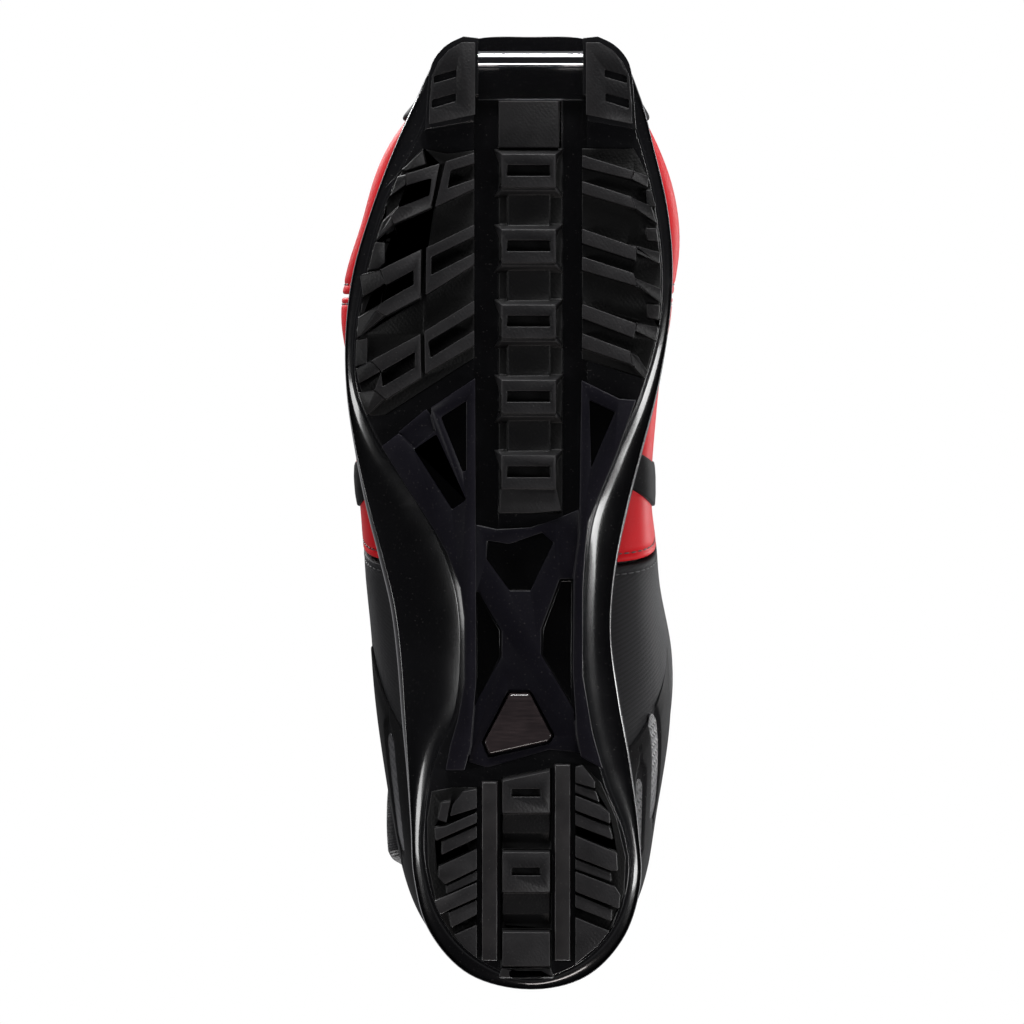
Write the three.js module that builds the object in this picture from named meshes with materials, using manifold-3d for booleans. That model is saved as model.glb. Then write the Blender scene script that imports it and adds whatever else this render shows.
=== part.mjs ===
// A right-foot cross country ski boot with a bar-and-groove sole, as an assembly of separate solids.
// Millimetres, +Z up, toe towards -Y, medial side towards +X, tread on z = 0.
// The boot's skin is a loft of sections that fan round the ankle. Every layer of the upper is a patch of
// that skin at its own depth, and the sole cup is cut by the skin, so both follow the same stations.
import * as THREE from "three";
import { mergeVertices } from "three/addons/utils/BufferGeometryUtils.js";
import Module from "manifold-3d";

const wasm = await Module();
wasm.setup();

// ---- driving dimensions ----
const footLength = 300; // sole, toe to heel
const footWidth = 103; // sole, at the ball
const collarHeight = 168; // highest point of the skin, at the front of the ankle
const fitGap = 0.3; // between pieces that touch
const layerGap = 0.8; // between layers of the upper

const lugHeight = 4.6; // tread face to the floor between the lugs
const padSkin = 0.8; // moulded floor that joins one pad's lugs
const grooveDepth = 9; // binding grooves, from the tread face
const grooveInner = 10.2; // groove wall next to the centre ladder, from the centreline
const grooveOuter = 17.8;

const overlayThickness = 1.6;
const panelThickness = 2;
const liningThickness = 3.2;
const tongueThickness = 3.6;

const barDiameter = 5;
const barFreeLength = 32.8; // between the binding ears
const barEmbed = 6; // each end, inside its ear
const barHeight = 6.2; // bar centre above the tread face
const barSetback = 8; // bar centre behind the front of the sole
const recessDepth = 13.2; // ceiling of the recess over the bar, from the tread face

const ladderPitch = 23.55; // centre ladder: block to block
const ladderHalf = 8.5; // half the width of a block's face
const ladderFlare = 2.6; // how far a block's foot spreads past its face
const heelHalf = 7.4; // heel centre strip, half its width
const ribCentre = 11.4; // heel rib, from the middle of the heel strip
const ribHalf = 2.35;
const railFace = 1.2; // waist rails above the tread face
const braceFace = 2.6; // waist brace above the tread face
const inlayThickness = 2.4;

const footbedThickness = 4;
const laceHoles = 6;
const laceHoleRadius = 2;
const zipTapeWidth = 8;
const zipTapeThickness = 1.2;
const sliderLength = 10;
const sliderWidth = 7.6;
const sliderHeight = 3.4;
const sliderClearance = 0.5; // between the slider and the tapes
const pullLength = 21;
const pullWidth = 6;
const pullThickness = 1.6;
const strapThickness = 2;
const strapPadThickness = 1.2;
const collarThickness = 8;
const loopWidth = 12; // heel pull loop
const loopDepth = 9;
const loopWall = 1.6;

// Plan positions are drawn for a 300 x 103 mm sole, and heights for a 168 mm collar.
const ky = footLength / 300;
const kx = footWidth / 103;
const kz = (collarHeight - 20) / (168 - 20);
const lift = (z) => (z < 20 ? z : 20 + (z - 20) * kz); // the sole keeps its thickness
const at = (x, y) => new THREE.Vector2(x * kx, y * ky);

const boot = new THREE.Group();

// ---- solids ----
const finish = {
  frame: new THREE.MeshStandardMaterial({ color: 0x0b0b0d, roughness: 0.22, metalness: 0 }),
  rubber: new THREE.MeshStandardMaterial({ color: 0x18171a, roughness: 0.75, metalness: 0 }),
  steel: new THREE.MeshStandardMaterial({ color: 0xc9ccd0, roughness: 0.22, metalness: 1 }),
  inlay: new THREE.MeshStandardMaterial({ color: 0x2a2325, roughness: 0.18, metalness: 0 }),
  shell: new THREE.MeshStandardMaterial({ color: 0x1b1b1d, roughness: 0.35, metalness: 0 }),
  fabric: new THREE.MeshStandardMaterial({ color: 0x1d1d20, roughness: 0.85, metalness: 0 }),
  red: new THREE.MeshStandardMaterial({ color: 0xb01522, roughness: 0.5, metalness: 0 }),
  lining: new THREE.MeshStandardMaterial({ color: 0x2b2b2f, roughness: 0.95, metalness: 0 }),
  board: new THREE.MeshStandardMaterial({ color: 0x8a7f6c, roughness: 0.9, metalness: 0 }),
  webbing: new THREE.MeshStandardMaterial({ color: 0x141416, roughness: 0.8, metalness: 0 }),
};

function meshOf(points, triangles) {
  const geometry = new THREE.BufferGeometry();
  const numbers = points.flatMap((p) => [p.x, p.y, p.z]);
  geometry.setAttribute("position", new THREE.Float32BufferAttribute(numbers, 3));
  geometry.setIndex(triangles.flat());
  return geometry;
}

// A three.js geometry as a manifold-3d solid, facing out whatever way its faces were wound.
function solid(geometry) {
  const bare = geometry.clone();
  bare.deleteAttribute("normal");
  bare.deleteAttribute("uv");
  const merged = mergeVertices(bare, 1e-4);
  const position = merged.attributes.position;
  const corner = [0, 1, 2].map(() => new THREE.Vector3());
  let index = [];
  let volume = 0;
  for (let i = 0; i < merged.index.count; i += 3) {
    const [a, b, c] = [0, 1, 2].map((k) => merged.index.getX(i + k));
    if (a === b || b === c || a === c) continue;
    [a, b, c].forEach((v, k) => corner[k].fromBufferAttribute(position, v));
    volume += corner[0].dot(corner[1].clone().cross(corner[2]));
    index.push([a, b, c]);
  }
  if (volume < 0) index = index.map(([a, b, c]) => [a, c, b]);
  return new wasm.Manifold(
    new wasm.Mesh({
      numProp: 3,
      vertProperties: new Float32Array(position.array),
      triVerts: new Uint32Array(index.flat()),
    }),
  );
}

function geometryOf(made) {
  const mesh = made.getMesh();
  const geometry = new THREE.BufferGeometry();
  geometry.setAttribute("position", new THREE.BufferAttribute(new Float32Array(mesh.vertProperties), 3));
  geometry.setIndex(new THREE.BufferAttribute(new Uint32Array(mesh.triVerts), 1));
  return geometry;
}

// The largest body only, so that a sliver left by a cut is not kept.
function whole(made) {
  return made.decompose().reduce((best, body) => (body.volume() > best.volume() ? body : best));
}

function add(name, made, material, parent = boot) {
  const mesh = new THREE.Mesh(geometryOf(whole(made)), material);
  mesh.name = name;
  parent.add(mesh);
  return made;
}

function box(x0, x1, y0, y1, z0, z1) {
  const geometry = new THREE.BoxGeometry(x1 - x0, y1 - y0, z1 - z0);
  geometry.translate((x0 + x1) / 2, (y0 + y1) / 2, (z0 + z1) / 2);
  return solid(geometry);
}

// A plan outline of [x, y] pairs, raised from z0 to z1, with its holes cut through. Scaled with the sole.
function slab(outline, z0, z1, holes = []) {
  const geometry = new THREE.ExtrudeGeometry(new THREE.Shape(outline.map(([x, y]) => at(x, y))), {
    depth: z1 - z0,
    bevelEnabled: false,
  });
  geometry.translate(0, 0, z0);
  return holes.reduce((made, hole) => made.subtract(slab(hole, z0 - 1, z1 + 1)), solid(geometry));
}

const joined = (parts) => parts.reduce((all, part) => all.add(part));
const mirrored = (outline) => outline.map(([x, y]) => [-x, y]);

// A block whose tread face is `face` at z0 and whose foot is `foot` at z1, both with the same corners.
function taperedBlock(face, foot, z0, z1) {
  const n = face.length;
  const points = [
    ...face.map(([x, y]) => new THREE.Vector3(x * kx, y * ky, z0)),
    ...foot.map(([x, y]) => new THREE.Vector3(x * kx, y * ky, z1)),
  ];
  const triangles = [];
  for (let i = 0; i < n; i++) {
    const j = (i + 1) % n;
    triangles.push([i, j, n + j], [i, n + j, n + i]);
  }
  for (let i = 1; i < n - 1; i++) triangles.push([0, i + 1, i], [n, n + i, n + i + 1]);
  return solid(meshOf(points, triangles));
}

// ---- the boot's skin ----
// Each station is one plane of the fan. top is the front or upper end of its section on the centreline,
// low is the sole or back end, as [y, z]. middle is the section's centre in x, half its half-width, wide how
// far down the section is widest, and crown and base how square its two halves are.
const stations = [
  { top: [-147, 27], low: [-147, 27], middle: 0, half: 0, wide: 0.5, crown: 2.2, base: 2.2 },
  { top: [-144, 38], low: [-145, 17], middle: 0, half: 22.5, wide: 0.52, crown: 2.2, base: 2.6 },
  { top: [-134, 48.5], low: [-137, 14.5], middle: 0, half: 31.5, wide: 0.58, crown: 2.2, base: 3.6 },
  { top: [-116, 57], low: [-116, 14], middle: -2.3, half: 44.9, wide: 0.62, crown: 2.15, base: 2.7 },
  { top: [-94, 65], low: [-93, 14], middle: -3.05, half: 51.85, wide: 0.66, crown: 2.1, base: 3.1 },
  { top: [-68, 76], low: [-66, 14], middle: -7.4, half: 54.25, wide: 0.68, crown: 2, base: 3.4 },
  { top: [-45, 88], low: [-36, 14.5], middle: -8, half: 50.4, wide: 0.68, crown: 1.95, base: 5 },
  { top: [-20, 105.3], low: [-4, 16], middle: -8, half: 48.6, wide: 0.66, crown: 1.9, base: 4.5 },
  { top: [3, 121.2], low: [32, 18], middle: -5.3, half: 48.8, wide: 0.6, crown: 1.9, base: 3.8 },
  { top: [20, 133], low: [76, 20], middle: -2.2, half: 49.6, wide: 0.57, crown: 1.95, base: 3 },
  { top: [31, 140.6], low: [122, 20.5], middle: -1.9, half: 45, wide: 0.56, crown: 2, base: 2.5 },
  { top: [37, 147], low: [148.5, 42], middle: -1.5, half: 42, wide: 0.54, crown: 2, base: 2.3 },
  { top: [41, 153], low: [142.5, 82], middle: -1.2, half: 40, wide: 0.52, crown: 2.05, base: 2.2 },
  { top: [44.5, 160], low: [135.5, 120], middle: -1, half: 39, wide: 0.5, crown: 2.1, base: 2.2 },
  { top: [47, 168], low: [139, 160], middle: -1, half: 39, wide: 0.5, crown: 2.1, base: 2.2 },
];
const lastStation = stations.length - 1;
const toeReach = 3; // stations over which the toe's own wall thickness fades in

// A Catmull-Rom curve through b and c, at t between them.
function smooth(a, b, c, d, t) {
  const linear = (c - a) * t;
  const square = (2 * a - 5 * b + 4 * c - d) * t * t;
  const cubic = (3 * b - a - 3 * c + d) * t * t * t;
  return 0.5 * (2 * b + linear + square + cubic);
}

// Any number of a station, at a place between stations.
function stationValue(pick, s) {
  const i = Math.min(Math.max(Math.floor(s), 0), lastStation - 1);
  const take = (k) => pick(stations[Math.min(Math.max(k, 0), lastStation)]);
  return smooth(take(i - 1), take(i), take(i + 1), take(i + 2), s - i);
}

// A point of the skin. s runs from the toe tip to the collar, turn from 0 at the front ridge to +-pi at the
// sole and back (minus is lateral), and depth is how far the point lies inside the skin.
function skin(s, turn, depth = 0) {
  const value = (pick) => stationValue(pick, s);
  const top = new THREE.Vector2(value((p) => p.top[0]) * ky, lift(value((p) => p.top[1])));
  const low = new THREE.Vector2(value((p) => p.low[0]) * ky, lift(value((p) => p.low[1])));
  const centre = top.clone().add(low).multiplyScalar(0.5);
  const reach = top.distanceTo(low) / 2;
  const shrink = 1 - depth / Math.max(reach, 20);
  const half = Math.max(value((p) => p.half), 0) * kx;
  const narrow = half * (1 - depth / Math.max(half, 36));
  const wide = value((p) => p.wide);
  const angle = Math.min(Math.abs(turn), Math.PI);
  const upper = angle < Math.PI / 2;
  const power = 2 / value((p) => (upper ? p.crown : p.base));
  const across = Math.pow(Math.max(Math.sin(angle), 0), power);
  const along = Math.pow(Math.abs(Math.cos(angle)), power);
  const down = upper ? wide * (1 - along) : wide + (1 - wide) * along;
  const place = top.clone().lerp(low, down).sub(centre).multiplyScalar(shrink).add(centre);
  const toeShift = depth * Math.max(0, 1 - s / toeReach);
  return new THREE.Vector3(
    value((p) => p.middle) * kx + Math.sign(turn) * narrow * across,
    place.x + toeShift,
    place.y,
  );
}

// A closed piece of the skin between two depths. domain turns (a, b) in 0..1 into [s, turn], and rows is
// a count, or the values of a to use.
function patch(domain, outer, inner, rows, nb) {
  const steps = Array.isArray(rows) ? rows : Array.from({ length: rows + 1 }, (_, i) => i / rows);
  const na = steps.length - 1;
  const points = [];
  for (const depth of [outer, inner])
    for (const a of steps)
      for (let j = 0; j <= nb; j++) {
        const [s, turn] = domain(a, j / nb);
        points.push(skin(s, turn, depth));
      }
  const id = (layer, i, j) => (layer * (na + 1) + i) * (nb + 1) + j;
  const triangles = [];
  const quad = (a, b, c, d) => triangles.push([a, b, c], [a, c, d]);
  for (let i = 0; i < na; i++)
    for (let j = 0; j < nb; j++) {
      quad(id(0, i, j), id(0, i + 1, j), id(0, i + 1, j + 1), id(0, i, j + 1));
      quad(id(1, i, j), id(1, i, j + 1), id(1, i + 1, j + 1), id(1, i + 1, j));
    }
  for (let i = 0; i < na; i++) {
    quad(id(0, i, 0), id(1, i, 0), id(1, i + 1, 0), id(0, i + 1, 0));
    quad(id(0, i, nb), id(0, i + 1, nb), id(1, i + 1, nb), id(1, i, nb));
  }
  for (let j = 0; j < nb; j++) {
    quad(id(0, 0, j), id(0, 0, j + 1), id(1, 0, j + 1), id(1, 0, j));
    quad(id(0, na, j), id(1, na, j), id(1, na, j + 1), id(0, na, j + 1));
  }
  return solid(meshOf(points, triangles));
}

// Everything inside the skin at one depth, from the toe to a station, as one solid. Its rings are closer
// together round the toe and the heel.
const ringSides = 32;
const ringSpacing = [[3, 0.3], [9.5, 0.6], [11.5, 0.25], [stations.length, 0.6]];

function ringStations(end, start = 0) {
  const stops = [start];
  for (let s = 0; s < end - 0.05; s += ringSpacing.find(([limit]) => s < limit - 1e-6)[1])
    if (s > start + 0.05) stops.push(s);
  return [...stops, end];
}

function filled(depth, endStation) {
  const nb = ringSides;
  const stops = ringStations(endStation);
  const na = stops.length - 1;
  const points = [];
  for (const s of stops)
    for (let j = 0; j < nb; j++) points.push(skin(s, -Math.PI + (2 * Math.PI * j) / nb, depth));
  const triangles = [];
  for (let i = 0; i < na; i++)
    for (let j = 0; j < nb; j++) {
      const k = (j + 1) % nb;
      const [a, b] = [i * nb, (i + 1) * nb];
      triangles.push([a + j, b + j, b + k], [a + j, b + k, a + k]);
    }
  for (let j = 1; j < nb - 1; j++) triangles.push([na * nb, na * nb + j + 1, na * nb + j]);
  return solid(meshOf(points, triangles));
}

// A layer of the skin between two depths, trimmed to a domain. It shares its facets with the sole's cavity.
function layer(domain, depths, na, nb) {
  const reach = 4;
  const end = 13;
  const sheet = filled(depths[0], end).subtract(filled(depths[1], end + 0.5));
  return sheet.intersect(patch(domain, depths[0] - reach, depths[1] + reach, na, nb));
}

// ---- layers of the upper, by depth inside the skin ----
const overlay = [0, overlayThickness];
const panel = [overlay[1] + layerGap, overlay[1] + layerGap + panelThickness];
const liner = [panel[1] + layerGap, panel[1] + layerGap + liningThickness];
const cavityDepth = liner[1] + layerGap;

// ---- sole ----
// Plan outlines from the toe, round the lateral side to the heel and back up the medial side.
const soleEdge = [
  [0, -149.6], [-17, -149], [-28, -144.3], [-36.5, -129], [-44, -112], [-50.2, -95], [-55.8, -76],
  [-58.2, -57], [-57.9, -38], [-55.2, -19], [-51.8, -2], [-48, 13], [-44, 30], [-42, 46], [-40.6, 64],
  [-39, 82], [-37.8, 99], [-36.8, 115], [-32, 132], [-19.5, 145.6], [0, 150.4], [17.5, 146.4],
  [29.5, 134], [34.8, 117], [34.3, 101], [31.5, 78], [28, 58], [25.6, 38], [27, 18], [31, -2],
  [35.5, -20], [40.5, -40], [44, -62], [44.8, -79], [43, -97], [38.8, -115], [34.5, -131],
  [28, -144.3], [17, -149],
];
const treadEdge = [
  [0, -146], [-18, -145.5], [-29, -137], [-33, -122], [-39.5, -109], [-45.8, -96], [-51.2, -76],
  [-54.8, -57], [-54.6, -40], [-48, -23], [-36, -5.5], [-27, 9.5], [-21.8, 25], [-20.5, 42], [-22.5, 62],
  [-29.5, 77], [-33, 95], [-33, 110], [-28, 127], [-17, 139.5], [0, 146], [15.5, 141], [26, 130],
  [30.7, 114], [29.3, 101], [23.5, 86], [18.5, 66], [16.3, 45], [16.4, 23], [18.3, 3], [26, -17],
  [34.5, -37], [40.3, -58], [41.3, -76], [39.6, -92], [36.5, -107], [32.5, -121], [28.5, -137],
  [18, -145.5],
];
const frameFloor = lugHeight + padSkin + fitGap; // underside of the sole frame

function closedCurve(outline, count) {
  const curve = new THREE.CatmullRomCurve3(
    outline.map(([x, y]) => new THREE.Vector3(x, y, 0)),
    true,
  );
  return Array.from({ length: count }, (_, i) => curve.getPoint(i / count));
}

// Height of the sole's lip, which climbs from the toe to the heel cup.
function lipHeight(y) {
  return 19 + 4 * THREE.MathUtils.smoothstep(y, -60, 30) + 6 * THREE.MathUtils.smoothstep(y, 60, 135);
}

// Rings between the tread edge (0) and the sole edge (1), each with its share of the way up to the lip.
const flankRings = [
  [0, 0],
  [0.06, 0.28],
  [0.45, 0.4],
  [0.8, 0.43],
  [0.93, 0.4],
  [1, 0.58],
  [1, 0.92],
  [0.97, 1],
  [0.7, 1],
];

function soleBlank() {
  const around = 78;
  const low = closedCurve(treadEdge, around);
  const edge = closedCurve(soleEdge, around);
  const points = [];
  for (const [out, up] of flankRings)
    for (let i = 0; i < around; i++) {
      const place = low[i].clone().lerp(edge[i], out);
      const lip = lipHeight(edge[i].y);
      points.push(new THREE.Vector3(place.x * kx, place.y * ky, frameFloor + (lip - frameFloor) * up));
    }
  const triangles = [];
  for (let r = 0; r < flankRings.length - 1; r++)
    for (let i = 0; i < around; i++) {
      const j = (i + 1) % around;
      const [a, b] = [r * around, (r + 1) * around];
      triangles.push([a + i, a + j, b + j], [a + i, b + j, b + i]);
    }
  for (const [start, turned] of [[0, false], [(flankRings.length - 1) * around, true]]) {
    const ring = points.slice(start, start + around).map((p) => new THREE.Vector2(p.x, p.y));
    for (const [a, b, c] of THREE.ShapeUtils.triangulateShape(ring, []))
      triangles.push(turned ? [start + a, start + c, start + b] : [start + a, start + b, start + c]);
  }
  return solid(meshOf(points, triangles));
}

const soleFront = -footLength / 2;
const barY = soleFront + barSetback;
const recessEnd = -129.6 * ky; // step behind the bar
const barRecess = barFreeLength / 2;
const barSides = 20;
const earDrop = 0.5 + padSkin; // the ears' own floor above the tread face

// One binding ear, drawn for the lateral side. It carries half of the bar and ends in a flared wing.
const earOutline = [
  [-barFreeLength / 2 / kx, -148.4], [-21, -148.9], [-26, -146.4], [-29.8, -142.4], [-31.6, -137.5],
  [-32.4, -128], [-33, -119.8], [-barFreeLength / 2 / kx, -122.8],
];

function ear(outline) {
  return slab(outline, earDrop, recessDepth + 1);
}

function soleFrame() {
  const toeCut = box(-barRecess, barRecess, soleFront - 5, recessEnd, -1, recessDepth);
  let frame = joined([soleBlank(), ear(earOutline), ear(mirrored(earOutline))]);
  frame = frame.subtract(toeCut);
  frame = frame.subtract(filled(-fitGap, 12));
  for (const side of [-1, 1]) {
    const [a, b] = [side * grooveInner * kx, side * grooveOuter * kx].sort((p, q) => p - q);
    frame = frame.subtract(box(a, b, recessEnd - 1, 6 * ky, -1, grooveDepth));
  }
  for (const pocket of archPockets) frame = frame.subtract(slab(pocket, frameFloor - 1, pocketCeiling));
  const boreRadius = barDiameter / 2 + fitGap;
  const boreLength = barFreeLength + 2 * (barEmbed + fitGap);
  const bore = new THREE.CylinderGeometry(boreRadius, boreRadius, boreLength, barSides);
  bore.rotateZ(Math.PI / 2);
  bore.translate(0, barY, barHeight);
  return frame.subtract(solid(bore));
}

function toeBar() {
  const barLength = barFreeLength + 2 * barEmbed;
  const bar = new THREE.CylinderGeometry(barDiameter / 2, barDiameter / 2, barLength, barSides);
  bar.rotateZ(Math.PI / 2);
  bar.translate(0, barY, barHeight);
  return solid(bar);
}

// Rubber pad on one ear, with its two grip slots.
function toeLug(turn) {
  const inner = -barFreeLength / 2 / kx - 0.9;
  const outline = [
    [inner, -147], [-21.5, -147], [-25.6, -144.6], [-28.8, -141], [-30.8, -136.5], [-31.6, -128],
    [-31.8, -121.4], [inner, -124.4],
  ];
  const slots = [
    [[-30.2, -136.4], [-23.2, -138.4], [-23.2, -136.2], [-30.2, -134.2]],
    [[-30.8, -129], [-23.4, -131], [-23.4, -128.6], [-30.8, -126.4]],
  ];
  return slab(turn(outline), 0, earDrop - fitGap, slots.map(turn));
}

// Solid lug from its tread face down to the floor between the lugs. A corner is [x, y], with a third value
// where its own face lies above the tread face.
const lugFoot = lugHeight + padSkin / 2;
function lug(outline, holes = []) {
  const n = outline.length;
  const plan = outline.map(([x, y]) => at(x, y));
  const points = [
    ...plan.map((p, i) => new THREE.Vector3(p.x, p.y, outline[i][2] ?? 0)),
    ...plan.map((p) => new THREE.Vector3(p.x, p.y, lugFoot)),
  ];
  const turned = THREE.ShapeUtils.isClockWise(plan);
  const triangles = [];
  for (const [a, b, c] of THREE.ShapeUtils.triangulateShape(plan, []))
    triangles.push([a, c, b], [n + a, n + b, n + c]);
  for (let i = 0; i < n; i++) {
    const [p, q] = turned ? [(i + 1) % n, i] : [i, (i + 1) % n];
    triangles.push([p, q, n + q], [p, n + q, n + p]);
  }
  const block = solid(meshOf(points, triangles));
  return holes.reduce((made, hole) => made.subtract(slab(hole, -1, lugHeight)), block);
}

// Lateral chevrons. Each is an outer frame with a window, a hook next to the groove, wings that fall away
// to the edge, and a low side block behind it.
const lateralInner = -17.6;
const lateralChevrons = [
  {
    frame: [
      [-39, -105.8], [-28.4, -109.1], [-31.2, -95.3], [-42.8, -90.2], [-43.8, -92.6], [-41.4, -95.6],
      [-38.8, -102],
    ],
    window: [[-38.6, -102], [-31.2, -104.2], [-31.9, -99.2], [-41, -95.7]],
    hook: [
      [-26.6, -109.7], [lateralInner, -112.5], [lateralInner, -109.1], [-25, -106.9], [-25.9, -101.4],
      [lateralInner, -104.3], [lateralInner, -101.2], [-29.9, -95.5],
    ],
    wings: [
      [[-38.8, -105.8, 0.2], [-39, -102.4, 0.2], [-44, -98.9, 3.2], [-41.6, -105.2, 3]],
      [[-41.4, -95.8, 0.2], [-43.6, -92.4, 0.2], [-43, -90.3, 0.2], [-48.2, -85.4, 3.4], [-46.4, -91, 3.2]],
    ],
    side: [
      [-48.6, -84.6, 3.4], [-45.6, -84.4, 2.4], [-45.6, -78, 2.4], [-47.4, -76.3, 2.4], [-51, -75.6, 3.4],
    ],
  },
  {
    frame: [
      [-47, -75.9], [-34.2, -82.2], [-34.4, -67.2], [-45.4, -61.4], [-48.4, -63], [-46.8, -65.4],
      [-45.4, -71.2],
    ],
    window: [[-45.2, -71.2], [-36.6, -75.7], [-36.4, -71.3], [-46.4, -65.7]],
    hook: [
      [-32.6, -82.7], [lateralInner, -90], [lateralInner, -86.3], [-31, -79.8], [-31, -74.3],
      [lateralInner, -81.1], [lateralInner, -77.4], [-32.8, -68],
    ],
    wings: [
      [[-46.8, -76, 0.2], [-45.4, -71.6, 0.2], [-52.4, -67.5, 3.2], [-53.4, -74.2, 3.4], [-51.6, -74.9, 3]],
      [[-46.8, -65.2, 0.2], [-48.2, -63, 0.2], [-45.6, -61.6, 0.2], [-54.2, -54.6, 3.4], [-54, -61, 3.2]],
    ],
    side: [[-54.6, -53.8, 3.4], [-51, -54.6, 2.4], [-51, -46.8, 2.4], [-54.8, -45.5, 3.4]],
  },
  {
    frame: [[-50, -47.4], [-34.4, -55.8], [-34.2, -42.1], [-45.4, -35.4], [-48.8, -38.2], [-46.6, -44.2]],
    window: [[-46.8, -44], [-36.2, -50.1], [-36, -45.4], [-46.2, -39.4]],
    hook: [
      [-33.2, -56.6], [lateralInner, -66.2], [lateralInner, -62.1], [-32, -53.4], [-31.2, -48.4],
      [lateralInner, -56.9], [lateralInner, -52.3], [-33, -43.4],
    ],
    wings: [
      [[-49.8, -47.5, 0.2], [-46.8, -44.2, 0.2], [-53.6, -40.4, 3], [-54.7, -45, 3.2]],
      [[-48.6, -38.3, 0.2], [-45.6, -35.6, 0.2], [-51.4, -30.4, 3.4], [-53.8, -37.6, 3.2]],
    ],
  },
];

function lateralTread() {
  const floor = [
    [lateralInner, -113.5], [-26, -112.4], [-34, -114], [-40, -107.4], [-45.4, -96.4], [-50.8, -76],
    [-54.4, -57], [-54.2, -41.5], [-50.5, -30.4], [-46, -30.4], [lateralInner, -48.5],
  ];
  const parts = [slab(floor, lugHeight, lugHeight + padSkin)];
  parts.push(lug([[-33.8, -113.4, 3], [-32.7, -108.9, 2], [-38.9, -106.9, 2], [-40.2, -107.3, 3]]));
  for (const chevron of lateralChevrons) {
    parts.push(lug(chevron.frame, [chevron.window]), lug(chevron.hook));
    for (const wing of chevron.wings) parts.push(lug(wing));
    if (chevron.side) parts.push(lug(chevron.side));
  }
  return joined(parts);
}

// Medial chevrons: two plain bars and their wings, which fall away to the edge.
const medialInner = 16.1;
const medialChevrons = [
  {
    bars: [
      [[medialInner, -111.7], [32.4, -106.7], [31.4, -104.2], [medialInner, -107.9]],
      [[medialInner, -103.6], [31.6, -98.7], [33, -94.9], [medialInner, -99.8]],
    ],
    wings: [
      [[32, -106.8, 0.2], [37, -105, 2.6], [36.6, -101.8, 2.4], [31.2, -104.4, 0.2]],
      [[31.4, -98.6, 0.2], [37.8, -95.8, 2.6], [39.4, -90.6, 3], [32.8, -95.1, 0.2]],
    ],
    side: [[36, -101, 2.6], [37.8, -101, 3], [39.2, -95.6, 3], [36.4, -96, 2.6]],
  },
  {
    bars: [
      [[medialInner, -88.7], [33.2, -82.8], [32.8, -78.8], [medialInner, -84.2]],
      [[medialInner, -80], [32.2, -74.8], [33.4, -70.7], [medialInner, -75.8]],
    ],
    wings: [
      [[30.6, -84, 0.4], [40.6, -81.4, 3], [40.3, -78, 2.6], [32.6, -81.4, 0.2]],
      [[32, -73.6, 0.2], [40.8, -70, 2.6], [40.8, -65.6, 3], [33.2, -70.8, 0.2]],
    ],
    side: [[36, -89, 2.6], [39.4, -89, 3], [40, -84.8, 3], [36.6, -85.2, 2.6]],
  },
  {
    bars: [
      [[medialInner, -65.2], [33.2, -59], [32.2, -54.6], [medialInner, -60.8]],
      [[medialInner, -56], [31.2, -50.4], [31.6, -46.2], [medialInner, -51.5]],
    ],
    wings: [
      [[32.8, -59.2, 0.2], [40, -58, 3], [39.2, -53.8, 2.6], [32.2, -57, 0.2]],
      [[31, -50, 0.2], [33.4, -49, 0.6], [36.8, -43.8, 3], [35.6, -42, 3], [31.4, -46.4, 0.2]],
    ],
    side: [[36.4, -65.4, 2.6], [40.4, -65, 3], [40.2, -60.4, 3], [36.6, -61, 2.6]],
  },
];

function medialTread() {
  const floor = [
    [medialInner, -114], [32.4, -114], [36.8, -105.4], [39.4, -92], [40.9, -76], [40.2, -58], [35.8, -41.8],
    [medialInner, -48],
  ];
  const parts = [slab(floor, lugHeight, lugHeight + padSkin)];
  for (const chevron of medialChevrons)
    for (const outline of [...chevron.bars, ...chevron.wings, chevron.side]) parts.push(lug(outline));
  return joined(parts);
}

// Centre ladder: a rail with evenly pitched blocks, each waisted, flared at both ends, and slotted.
const ladderAxis = -0.6;
const ladderFirst = -114; // front of the first block
const ladderBlocks = 5;
const ladderSlot = { start: 5.4, width: 3.4, edge: 1.7, depth: 3.6 }; // start is behind the block's front
const blockLength = 15.4; // along the foot
const lastBlockLength = 12.4;
const faceFront = 2; // from the foot's front to the face's front
const faceBack = 12.4;

function strip(half, y0, y1) {
  const [a, b] = [ladderAxis - half, ladderAxis + half];
  return [[a, y0], [b, y0], [b, y1], [a, y1]];
}

function ladderBlock(front, last) {
  const face = ladderHalf;
  const waist = ladderHalf + 0.4;
  const foot = ladderHalf + ladderFlare;
  const back = front + (last ? lastBlockLength : blockLength);
  const trapezium = (half0, y0, half1, y1) => {
    const [a, b, c, d] = [-half0, half0, half1, -half1].map((x) => ladderAxis + x);
    return [[a, y0], [b, y0], [c, y1], [d, y1]];
  };
  const nose = trapezium(foot, front, waist, front + 4);
  const parts = [
    taperedBlock(strip(face, front + faceFront, front + 7), nose, 0, lugFoot),
    slab(strip(face, front + faceFront, front + faceBack), 0, lugFoot),
  ];
  if (!last) {
    const rear = trapezium(waist, front + 11.6, foot, back);
    parts.push(taperedBlock(strip(face, front + 12, front + 13.4), rear, 1.2, lugFoot));
  }
  const { start, width, edge, depth } = ladderSlot;
  const slot = strip(ladderHalf - edge, front + start, front + start + width);
  return joined(parts).subtract(slab(slot, -1, depth));
}

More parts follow.
